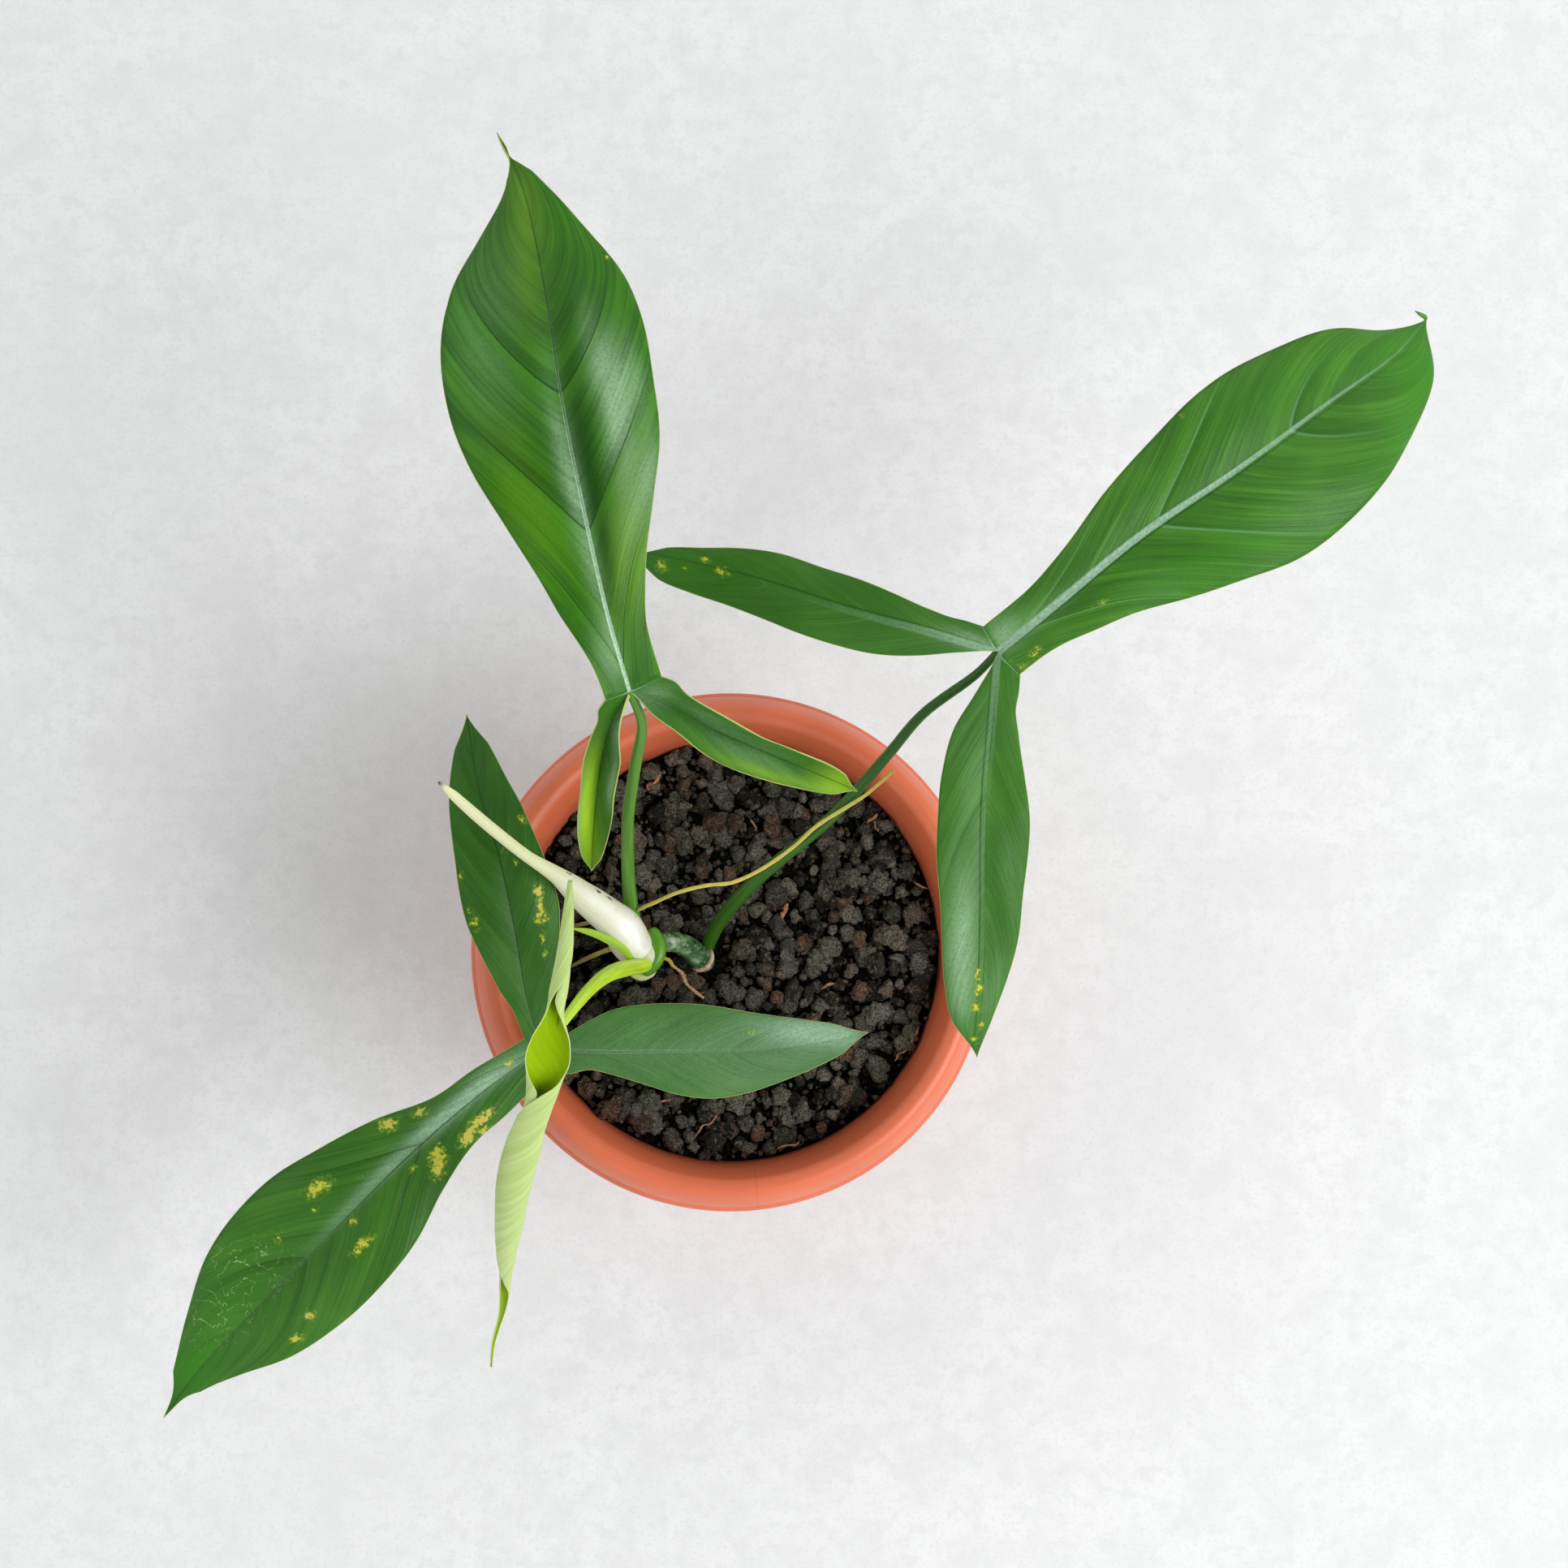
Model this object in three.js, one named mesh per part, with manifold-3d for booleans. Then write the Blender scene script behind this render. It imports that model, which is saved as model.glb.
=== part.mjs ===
// Potted philodendron with three-lobed leaves. Millimetres, +Z up.
// The origin is the centre of the flat base of the pot. +Y points to the back leaf, +X to the right leaf.

import * as THREE from 'three';
import { mergeVertices } from 'three/addons/utils/BufferGeometryUtils.js';
import Module from 'manifold-3d';

const wasm = await Module();
wasm.setup();

// Clearance between neighbouring pieces. A hole for a rod is wider, as the flats of its sides cut in.
const GAP = 0.3;
const ROD_GAP = 0.36;

// Pot
const POT_HEIGHT = 135;
const POT_BASE_RADIUS = 60;
const POT_NECK_RADIUS = 76;
const POT_NECK_HEIGHT = 118;
const POT_WALL = 2.2;
const POT_FLOOR = 2.4;
const RIM_RADIUS = 90;
const RIM_CREST_RADIUS = 81.5;
const RIM_LIP_HEIGHT = 118.4;
const POT_SEGMENTS = 56;
const DRAIN_HOLES = 6;
const DRAIN_HOLE_RADIUS = 4.5;
const DRAIN_CIRCLE_RADIUS = 42;

// Soil
const SOIL_LEVEL = 116;
const SOIL_RINGS = 18;
const SOIL_CLEARANCE = 0.65;
const GRAIN_HEIGHT = 2.4;
const GRAIN_SHARE = 0.42;
const GRAIN_JITTER = 0.5;
const GRAIN_SEED = 71;
const DIP_DEPTH = 0.8;
const SOIL_EDGE_DROP = 1.5;

// Leaves
const BLADE_HALF_THICKNESS = 0.36;
const MIDRIB_DEPTH = 0.9;
const MIDRIB_WIDTH = 0.45;
const MIDRIB_SINK = 0.3;
const MIDRIB_TAPER = 0.8;
const DRIP_LENGTH = 0.1;
const MIDDLE_BLEND = 0.16;
const SIDE_BLEND = 0.2;
const WAVE_OFFSET = 0.37;
const MID_ROWS = 16;
const SIDE_ROWS = 12;
const COLUMNS = 3;

const Z_AXIS = new THREE.Vector3(0, 0, 1);

const vec = (point) => new THREE.Vector3(...point);
const mix = (a, b, t) => a + (b - a) * t;
const smooth = (t) => THREE.MathUtils.smoothstep(t, 0, 1);
const degrees = THREE.MathUtils.degToRad;

// Smooth value at s, from 0 to 1, through values at even steps
function along(values, s) {
  const place = s * (values.length - 1);
  const k = Math.min(Math.floor(place), values.length - 2);
  const t = place - k;
  const before = values[Math.max(k - 1, 0)];
  const after = values[Math.min(k + 2, values.length - 1)];
  const slope0 = (values[k + 1] - before) / 2;
  const slope1 = (after - values[k]) / 2;
  const t2 = t * t;
  const t3 = t2 * t;
  return values[k] * (2 * t3 - 3 * t2 + 1) + slope0 * (t3 - 2 * t2 + t)
    + values[k + 1] * (3 * t2 - 2 * t3) + slope1 * (t3 - t2);
}

function geometryFrom(vertices, triangles) {
  const geometry = new THREE.BufferGeometry();
  const flat = vertices.flatMap((v) => [v.x, v.y, v.z]);
  geometry.setAttribute('position', new THREE.Float32BufferAttribute(flat, 3));
  geometry.setIndex(triangles.flat());
  return geometry;
}

function toSolid(geometry) {
  const bare = geometry.clone();
  bare.deleteAttribute('normal');
  bare.deleteAttribute('uv');
  const merged = mergeVertices(bare, 1e-4);
  return new wasm.Manifold(new wasm.Mesh({
    numProp: 3,
    vertProperties: new Float32Array(merged.attributes.position.array),
    triVerts: new Uint32Array(merged.index.array),
  }));
}

function fromSolid(solid) {
  const mesh = solid.getMesh();
  const geometry = new THREE.BufferGeometry();
  geometry.setAttribute('position', new THREE.BufferAttribute(mesh.vertProperties, 3));
  geometry.setIndex(new THREE.BufferAttribute(mesh.triVerts, 1));
  return geometry;
}

function cut(geometry, ...tools) {
  let solid = toSolid(geometry);
  for (const tool of tools) {
    solid = solid.subtract(toSolid(tool));
  }
  return fromSolid(solid);
}

function join(geometry, ...others) {
  let solid = toSolid(geometry);
  for (const other of others) {
    solid = solid.add(toSolid(other));
  }
  return fromSolid(solid);
}

// Round rod of changing radius along a smooth curve. A rounded end adds two short rings.
function rod({ route, radii, sides = 9, rows = 12, swell = 0, rounded = true }) {
  const curve = new THREE.CatmullRomCurve3(route.map(vec));
  const frames = curve.computeFrenetFrames(rows);
  const vertices = [];
  const triangles = [];
  const ring = (centre, normal, binormal, radius) => {
    for (let k = 0; k < sides; k += 1) {
      const angle = (2 * Math.PI * k) / sides;
      vertices.push(centre.clone()
        .addScaledVector(normal, radius * Math.cos(angle))
        .addScaledVector(binormal, radius * Math.sin(angle)));
    }
  };
  const endSteps = rounded ? [[0.85, 0.5], [0.45, 0.88]] : [];
  const radiusAt = (s) => along(radii, s) + swell;
  const addEnd = (row, direction, steps) => {
    const s = row / rows;
    const radius = radiusAt(s);
    for (const [share, rise] of steps) {
      const centre = curve.getPointAt(s).addScaledVector(frames.tangents[row], direction * rise * radius);
      ring(centre, frames.normals[row], frames.binormals[row], share * radius);
    }
  };
  addEnd(0, -1, [...endSteps].reverse());
  for (let row = 0; row <= rows; row += 1) {
    ring(curve.getPointAt(row / rows), frames.normals[row], frames.binormals[row], radiusAt(row / rows));
  }
  addEnd(rows, 1, endSteps);
  const ringCount = vertices.length / sides;
  for (let row = 0; row < ringCount - 1; row += 1) {
    for (let k = 0; k < sides; k += 1) {
      const a = row * sides + k;
      const b = row * sides + ((k + 1) % sides);
      triangles.push([a, b, b + sides], [a, b + sides, a + sides]);
    }
  }
  const last = (ringCount - 1) * sides;
  for (let k = 1; k < sides - 1; k += 1) {
    triangles.push([0, k + 1, k], [last, last + k, last + k + 1]);
  }
  return geometryFrom(vertices, triangles);
}

// Room that a rod takes with the clearance round it
const swollen = (piece) => rod({ ...piece, swell: ROD_GAP });

// Closed body from an open sheet: both faces are split alike, and a wall runs round the free edges.
// Each sheet vertex holds its point and how far the body reaches above and under it.
function thicken(sheet) {
  const count = sheet.vertices.length;
  const normals = sheet.vertices.map(() => new THREE.Vector3());
  for (const [a, b, c] of sheet.triangles) {
    const ab = sheet.vertices[b].point.clone().sub(sheet.vertices[a].point);
    const ac = sheet.vertices[c].point.clone().sub(sheet.vertices[a].point);
    const face = ab.cross(ac);
    normals[a].add(face);
    normals[b].add(face);
    normals[c].add(face);
  }
  normals.forEach((normal) => normal.normalize());
  const upper = sheet.vertices.map((v, k) => v.point.clone().addScaledVector(normals[k], v.above));
  const lower = sheet.vertices.map((v, k) => v.point.clone().addScaledVector(normals[k], -v.under));
  const triangles = [];
  const edges = new Set();
  for (const [a, b, c] of sheet.triangles) {
    triangles.push([a, b, c], [c + count, b + count, a + count]);
    edges.add(`${a} ${b}`).add(`${b} ${c}`).add(`${c} ${a}`);
  }
  for (const edge of edges) {
    const [a, b] = edge.split(' ').map(Number);
    if (!edges.has(`${b} ${a}`)) {
      triangles.push([b, a, a + count], [b, a + count, b + count]);
    }
  }
  return geometryFrom([...upper, ...lower], triangles);
}

function addTriangle(sheet, a, b, c) {
  if (a !== b && b !== c && c !== a) {
    sheet.triangles.push([a, b, c]);
  }
}

// Joins rows of vertex numbers, listed from the left edge to the right edge
function weave(sheet, rows) {
  for (let r = 0; r < rows.length - 1; r += 1) {
    for (let k = 0; k < rows[r].length - 1; k += 1) {
      const [a, b] = [rows[r][k], rows[r][k + 1]];
      const [c, d] = [rows[r + 1][k], rows[r + 1][k + 1]];
      if (k < (rows[r].length - 1) / 2) {
        addTriangle(sheet, a, b, c);
        addTriangle(sheet, b, d, c);
      } else {
        addTriangle(sheet, a, b, d);
        addTriangle(sheet, a, d, c);
      }
    }
  }
}

// Point of a lobe at s along its midrib and u across it, from +1 at the left margin to -1 at the right
function lobePoint(lobe, curve, s, u) {
  const tangent = curve.getTangentAt(s);
  const left = new THREE.Vector3().crossVectors(Z_AXIS, tangent).normalize();
  const up = new THREE.Vector3().crossVectors(tangent, left);
  const side = u > 0 ? 0 : 1;
  const reach = Math.abs(u);
  const drip = Math.max(s - 1 + DRIP_LENGTH, 0) / DRIP_LENGTH;
  const narrowing = 1 - lobe.drip * Math.sin(Math.PI * drip);
  const width = Math.max(along(side === 0 ? lobe.left : lobe.right, s), 0) * narrowing;
  const [fold, arch] = [lobe.fold[side], lobe.arch];
  const waveAngle = 2 * Math.PI * (lobe.waves * s + WAVE_OFFSET * side) + lobe.phase;
  const wave = lobe.wave * Math.sin(waveAngle) * reach * reach * Math.sin(Math.PI * s);
  const height = width * (fold * reach + arch * reach * reach) + wave;
  return curve.getPointAt(s)
    .addScaledVector(left, (side === 0 ? 1 : -1) * width * reach)
    .addScaledVector(up, height);
}

function addVertex(sheet, point, reach, s) {
  const rib = MIDRIB_DEPTH * Math.max(1 - reach / MIDRIB_WIDTH, 0) * (1 - MIDRIB_TAPER * s);
  const above = BLADE_HALF_THICKNESS - MIDRIB_SINK * rib;
  sheet.vertices.push({ point, above, under: BLADE_HALF_THICKNESS + rib });
  return sheet.vertices.length - 1;
}

// Grid of one lobe. Its first row is given, and the next rows turn from it into the lobe's own sections.
function addLobe(sheet, lobe, rowCount, firstRow, blend) {
  const curve = new THREE.CatmullRomCurve3(lobe.midrib.map(vec));
  const rows = [firstRow];
  const start = firstRow.map((index) => sheet.vertices[index].point);
  for (let r = 1; r < rowCount; r += 1) {
    const s = r / rowCount;
    const row = [];
    for (let k = 0; k <= 2 * COLUMNS; k += 1) {
      const u = 1 - k / COLUMNS;
      const share = k !== COLUMNS && firstRow[k] === firstRow[COLUMNS] ? 1 : smooth(s / blend);
      const shift = curve.getPointAt(s).sub(curve.getPointAt(0)).multiplyScalar(1 - share);
      const point = start[k].clone().multiplyScalar(1 - share).add(shift)
        .addScaledVector(lobePoint(lobe, curve, s, u), share);
      row.push(addVertex(sheet, point, Math.abs(u), s));
    }
    rows.push(row);
  }
  const tip = addVertex(sheet, curve.getPointAt(1), MIDRIB_WIDTH, 1);
  rows.push(firstRow.map(() => tip));
  weave(sheet, rows);
}

// Three-lobed blade. The middle lobe's first row runs from the left notch over the junction to the right
// notch, and each side lobe grows from its half of that row.
function blade(leaf) {
  const sheet = { vertices: [], triangles: [] };
  const junction = vec(leaf.middle.midrib[0]);
  const notches = [vec(leaf.leftNotch), vec(leaf.rightNotch)];
  const rootRow = [];
  for (let k = 0; k <= 2 * COLUMNS; k += 1) {
    const reach = Math.abs(1 - k / COLUMNS);
    const point = junction.clone().lerp(notches[k < COLUMNS ? 0 : 1], reach);
    point.z += leaf.rootRise * Math.sin(Math.PI * reach);
    rootRow.push(addVertex(sheet, point, reach, 0));
  }
  const centre = rootRow[COLUMNS];
  const leftRow = rootRow.map((_, k) => (k <= COLUMNS ? centre : rootRow[2 * COLUMNS - k]));
  const rightRow = rootRow.map((_, k) => (k >= COLUMNS ? centre : rootRow[2 * COLUMNS - k]));
  addLobe(sheet, leaf.middle, MID_ROWS, rootRow, MIDDLE_BLEND);
  addLobe(sheet, leaf.leftLobe, SIDE_ROWS, leftRow, SIDE_BLEND);
  addLobe(sheet, leaf.rightLobe, SIDE_ROWS, rightRow, SIDE_BLEND);
  return thicken(sheet);
}

// Curled sheet round an axis. Each row has the radius and the two edges of the covered arc in degrees,
// where 0 is to the left of travel and 90 is up. The radius grows along the arc, so laps stay apart.
function scroll({ axis, rows, columns, growth, half }) {
  const sheet = { vertices: [], triangles: [] };
  const curve = new THREE.CatmullRomCurve3(axis.map(vec));
  const grid = rows.map(({ s, radius, from, to }) => {
    const tangent = curve.getTangentAt(s);
    const left = new THREE.Vector3().crossVectors(Z_AXIS, tangent).normalize();
    const up = new THREE.Vector3().crossVectors(tangent, left);
    const centre = curve.getPointAt(s);
    const row = [];
    for (let k = 0; k <= columns; k += 1) {
      const angle = mix(to, from, k / columns);
      const reach = radius + growth * ((angle - (from + to) / 2) / 360);
      const point = centre.clone()
        .addScaledVector(left, reach * Math.cos(degrees(angle)))
        .addScaledVector(up, reach * Math.sin(degrees(angle)));
      sheet.vertices.push({ point, above: half, under: half });
      row.push(sheet.vertices.length - 1);
    }
    return row;
  });
  weave(sheet, grid);
  return thicken(sheet);
}

// Pot

function potWallRadius(z) {
  return mix(POT_BASE_RADIUS, POT_NECK_RADIUS, z / POT_NECK_HEIGHT);
}

function potGeometry() {
  const crest = RIM_CREST_RADIUS;
  const inside = (z) => potWallRadius(z) - POT_WALL;
  const profile = [
    [0, 0],
    [POT_BASE_RADIUS - 3, 0],
    [POT_BASE_RADIUS - 0.6, 1],
    [potWallRadius(4), 4],
    [potWallRadius(POT_NECK_HEIGHT), POT_NECK_HEIGHT],
    [crest - 3.4, 127],
    [crest - 1, 131.6],
    [crest + 1.5, 132.6],
    [crest + 4.6, 129.6],
    [crest + 5.9, 125],
    [RIM_RADIUS - 2.2, RIM_LIP_HEIGHT],
    [RIM_RADIUS - 0.5, RIM_LIP_HEIGHT],
    [RIM_RADIUS, 120.4],
    [RIM_RADIUS - 0.4, 123],
    [RIM_RADIUS - 1.6, 124],
    [RIM_RADIUS - 2, 127.4],
    [RIM_RADIUS - 3.6, 131],
    [crest + 2.9, 134.2],
    [crest, POT_HEIGHT],
    [crest - 2.8, 133.6],
    [crest - 5, 129.6],
    [inside(POT_NECK_HEIGHT) + 0.7, 124],
    [inside(POT_NECK_HEIGHT), POT_NECK_HEIGHT],
    [inside(POT_FLOOR), POT_FLOOR],
    [0, POT_FLOOR],
  ];
  const lathe = new THREE.LatheGeometry(profile.map(([r, z]) => new THREE.Vector2(r, z)), POT_SEGMENTS);
  lathe.rotateX(Math.PI / 2);
  const holes = [];
  for (let k = 0; k < DRAIN_HOLES; k += 1) {
    const angle = (2 * Math.PI * k) / DRAIN_HOLES;
    const hole = new THREE.CylinderGeometry(DRAIN_HOLE_RADIUS, DRAIN_HOLE_RADIUS, 4 * POT_FLOOR, 12);
    hole.rotateX(Math.PI / 2);
    hole.translate(DRAIN_CIRCLE_RADIUS * Math.cos(angle), DRAIN_CIRCLE_RADIUS * Math.sin(angle), 0);
    holes.push(hole);
  }
  return cut(lathe, ...holes);
}

// Soil: a plug that fills the pot, with a rough top of grains and plain holes for what stands in it

function seededRandom(seed) {
  let state = seed;
  return () => {
    state = (state * 16807) % 2147483647;
    return state / 2147483647;
  };
}

function soilGeometry(holes) {
  const random = seededRandom(GRAIN_SEED);
  const topRadius = potWallRadius(SOIL_LEVEL) - POT_WALL - SOIL_CLEARANCE;
  const bottom = POT_FLOOR + GAP;
  const bottomRadius = potWallRadius(bottom) - POT_WALL - SOIL_CLEARANCE;
  const vertices = [new THREE.Vector3(0, 0, SOIL_LEVEL)];
  const triangles = [];
  const ringStart = (ring) => 1 + 3 * ring * (ring - 1);
  for (let ring = 1; ring <= SOIL_RINGS; ring += 1) {
    const count = 6 * ring;
    for (let k = 0; k < count; k += 1) {
      const edge = ring === SOIL_RINGS;
      const jitter = edge ? 0 : GRAIN_JITTER * (random() - 0.5);
      const angle = (2 * Math.PI * (k + jitter)) / count;
      const radius = (topRadius * (ring + jitter)) / SOIL_RINGS;
      const raised = random() < GRAIN_SHARE;
      const grain = raised ? GRAIN_HEIGHT * mix(0.4, 1, random()) : -DIP_DEPTH * random();
      const bump = edge ? -DIP_DEPTH / 2 : grain;
      const height = SOIL_LEVEL + bump - SOIL_EDGE_DROP * (ring / SOIL_RINGS) ** 3;
      vertices.push(new THREE.Vector3(radius * Math.cos(angle), radius * Math.sin(angle), height));
    }
    for (let sector = 0; sector < 6; sector += 1) {
      for (let k = 0; k < ring; k += 1) {
        const outer = sector * ring + k;
        const inner = sector * (ring - 1) + k;
        const innerCount = Math.max(6 * (ring - 1), 1);
        const innerBase = ring === 1 ? 0 : ringStart(ring - 1);
        const a = ringStart(ring) + outer;
        const b = ringStart(ring) + ((outer + 1) % count);
        const c = innerBase + (inner % innerCount);
        triangles.push([a, b, c]);
        if (k < ring - 1) {
          triangles.push([c, b, innerBase + ((inner + 1) % innerCount)]);
        }
      }
    }
  }
  const rimStart = ringStart(SOIL_RINGS);
  const rimCount = 6 * SOIL_RINGS;
  const floorStart = vertices.length;
  for (let k = 0; k < rimCount; k += 1) {
    const angle = (2 * Math.PI * k) / rimCount;
    vertices.push(new THREE.Vector3(bottomRadius * Math.cos(angle), bottomRadius * Math.sin(angle), bottom));
  }
  vertices.push(new THREE.Vector3(0, 0, bottom));
  for (let k = 0; k < rimCount; k += 1) {
    const next = (k + 1) % rimCount;
    const [a, b] = [rimStart + k, rimStart + next];
    const [c, d] = [floorStart + k, floorStart + next];
    triangles.push([a, c, d], [a, d, b], [d, c, vertices.length - 1]);
  }
  return cut(geometryFrom(vertices, triangles), ...holes);
}

// Stem, and the stalks and roots that stand in the soil: each route runs from its foot to its end

const stem = {
  route: [[-5, -7, 84], [-7, -5.5, 104], [-10, -3, 114], [-15.6, 1.4, 122], [-21.2, 2.8, 127.6],
    [-24.8, 1.6, 130]],
  radii: [3.6, 4.2, 4.4, 4, 3.4, 3.2],
  sides: 12,
  rows: 12,
};

const rightStalk = {
  route: [[-4, -0.5, 84], [-7.6, 1.8, 112], [-7, 4.2, 122], [-3.1, 11.1, 132], [9.3, 24.3, 148],
    [33.2, 43.7, 166], [50.4, 62.8, 180], [61.2, 75.3, 190], [78.1, 87.6, 199], [84.9, 94.3, 201.9]],
  radii: [2, 2.2, 2.4, 2.4, 2.3, 2.1, 2, 1.85, 1.7, 1.5],
  rows: 24,
};

const frontStalk = {
  route: [[-22, -31, 84], [-25, -33, 108], [-31, -33.4, 123], [-39.2, -33.3, 137], [-51, -33.6, 149.5],
    [-66, -35.2, 155.6]],
  radii: [2.4, 2.6, 2.5, 2.3, 2.1, 1.7],
  rows: 14,
};

const brownRoot = {
  route: [[-23.6, -2.6, 127], [-21.4, -3.6, 125.6], [-20.3, -5.2, 123.5], [-16.9, -8, 121], [-15.5, -11.3, 119.6],
    [-12.4, -14.1, 118], [-9.8, -16.1, 116.4], [-8.6, -17.4, 112]],
  radii: [0.85, 0.85, 0.9, 1, 1, 0.9, 0.8, 0.6],
  sides: 7,
  rows: 10,
};

const leftRoot = {
  route: [[-33, 1.2, 126], [-36, 1.4, 122.5], [-41.3, 0.6, 120.4], [-48.1, -1.9, 118.6], [-56, -5.5, 114]],
  radii: [1, 0.9, 0.85, 0.8, 0.6],
  sides: 7,
  rows: 8,
};

const smallRoot = {
  route: [[-33, 6, 128.5], [-39, 9.5, 123.5], [-46, 10, 120.6], [-52.3, 9, 119.5], [-58.5, 7.5, 114]],
  radii: [0.9, 0.85, 0.8, 0.7, 0.5],
  sides: 7,
  rows: 8,
};

// Crown: the back leaf's stalk clasps it with a cup-shaped base, out of which the sheath and the new leaf
// grow. The cup is turned round its own axis.

const CUP = {
  floor: [-28.4, -1.2, 129.4],
  mouth: [-32.7, -0.1, 139],
  floorRadius: 4.4,
  mouthRadius: 9.8,
  wall: 1.3,
};

const backStalk = {
  route: [[-32.6, 6.2, 133.4], [-33.8, 10.8, 137.4], [-34.8, 17, 146], [-35.3, 28.2, 169], [-34.9, 41.6, 195],
    [-32.2, 56.5, 221.5], [-30.3, 67, 239.5], [-34, 76.5, 248.7]],
  radii: [2.6, 2.5, 2.3, 2.2, 2.1, 2, 1.9, 1.6],
  rows: 20,
};

// Solid turned round the axis of the cup from radii and shares of its depth
function turnedOnCup(profile) {
  const axis = vec(CUP.mouth).sub(vec(CUP.floor));
  const depth = axis.length();
  const points = profile.map(([radius, share]) => new THREE.Vector2(radius, share * depth));
  const turned = new THREE.LatheGeometry(points, 20);
  const lean = new THREE.Quaternion().setFromUnitVectors(new THREE.Vector3(0, 1, 0), axis.normalize());
  turned.applyQuaternion(lean);
  turned.translate(...CUP.floor);
  return turned;
}

const cupOuter = [
  [0, 0],
  [CUP.floorRadius, 0],
  [CUP.floorRadius + 2, 0.28],
  [CUP.mouthRadius, 0.66],
  [CUP.mouthRadius - 0.3, 1],
];

const cupInner = [
  [CUP.mouthRadius - CUP.wall, 0.66],
  [CUP.floorRadius + 1, 0.36],
  [0, 0.3],
];

function backStalkGeometry() {
  const mouthInside = CUP.mouthRadius - CUP.wall;
  const cup = turnedOnCup([...cupOuter, [mouthInside, 1], ...cupInner]);
  const hollow = turnedOnCup([...cupInner.toReversed(), [mouthInside, 1.6], [0, 1.6]]);
  const sheathSpace = rod({
    route: cataphyll.axis.slice(0, 4),
    radii: [5.1, 6.8, 7.4, 7.2, 6.4],
    sides: 20,
    swell: cataphyll.half + GAP,
    rounded: false,
  });
  return cut(join(cup, cut(rod(backStalk), hollow)), sheathSpace, swollen(stem));
}

const newStalk = {
  route: [[-29.2, -3.8, 139.6], [-30.4, -5.4, 142.8], [-33.2, -6.4, 147.4], [-37, -7.4, 160],
    [-42.4, -10.4, 184], [-48, -16.4, 208], [-55.8, -27.8, 235.2]],
  radii: [2.6, 2.8, 2.7, 2.4, 2.1, 1.9, 1.5],
  rows: 16,
};

const longRoot = {
  route: [[-32.6, 12.8, 142.8], [-30.3, 13.9, 145], [-26.4, 15.4, 148], [-18.5, 18.5, 154.5], [-9, 20.7, 157.5],
    [-0.4, 21.7, 158], [9.6, 26.3, 158.2], [20, 33.5, 161.2], [27.4, 40, 166.6], [35.4, 45, 171.2],
    [43.2, 49.8, 175], [52.6, 57.8, 179.4]],
  radii: [0.65, 0.65, 0.65, 0.65, 0.65, 0.65, 0.65, 0.65, 0.65, 0.65, 0.6, 0.5],
  sides: 7,
  rows: 26,
};

const cataphyll = {
  axis: [[-31, -1, 134.8], [-34.2, 1.4, 140.2], [-37.5, 6.6, 147], [-43.9, 11.8, 156], [-50.7, 16.9, 164],
    [-58.3, 22.8, 173], [-67.9, 28.6, 183], [-75.4, 34.1, 193.5], [-84.3, 41.2, 206], [-94.6, 50.2, 218]],
  rows: [
    { s: 0.0, radius: 5, from: 125, to: 325 },
    { s: 0.05, radius: 6.1, from: 120, to: 310 },
    { s: 0.1, radius: 6.8, from: 100, to: 290 },
    { s: 0.16, radius: 6.6, from: 64, to: 220 },
    { s: 0.23, radius: 5.8, from: 14, to: 190 },
    { s: 0.31, radius: 5.3, from: 10, to: 175 },
    { s: 0.4, radius: 4.1, from: 10, to: 170 },
    { s: 0.49, radius: 2.5, from: 10, to: 170 },
    { s: 0.6, radius: 1.7, from: 10, to: 170 },
    { s: 0.8, radius: 1.6, from: 10, to: 170 },
    { s: 0.93, radius: 1.4, from: 20, to: 160 },
    { s: 1.0, radius: 0.6, from: 60, to: 120 },
  ],
  columns: 10,
  growth: 0.4,
  half: 0.36,
};

const innerSheath = {
  axis: [[-33.1, -0.2, 142.6], [-36.1, -2.3, 149.6], [-39.6, -1, 156.4], [-45.6, 3.6, 163], [-53.3, 5.7, 170]],
  rows: [
    { s: 0.0, radius: 1.2, from: 0, to: 180 },
    { s: 0.15, radius: 1.6, from: 0, to: 180 },
    { s: 0.35, radius: 1.6, from: 0, to: 180 },
    { s: 0.55, radius: 1.4, from: 0, to: 180 },
    { s: 0.75, radius: 1.1, from: 10, to: 170 },
    { s: 0.9, radius: 0.8, from: 20, to: 160 },
    { s: 1.0, radius: 0.5, from: 50, to: 130 },
  ],
  columns: 4,
  growth: 0,
  half: 0.3,
};

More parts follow.
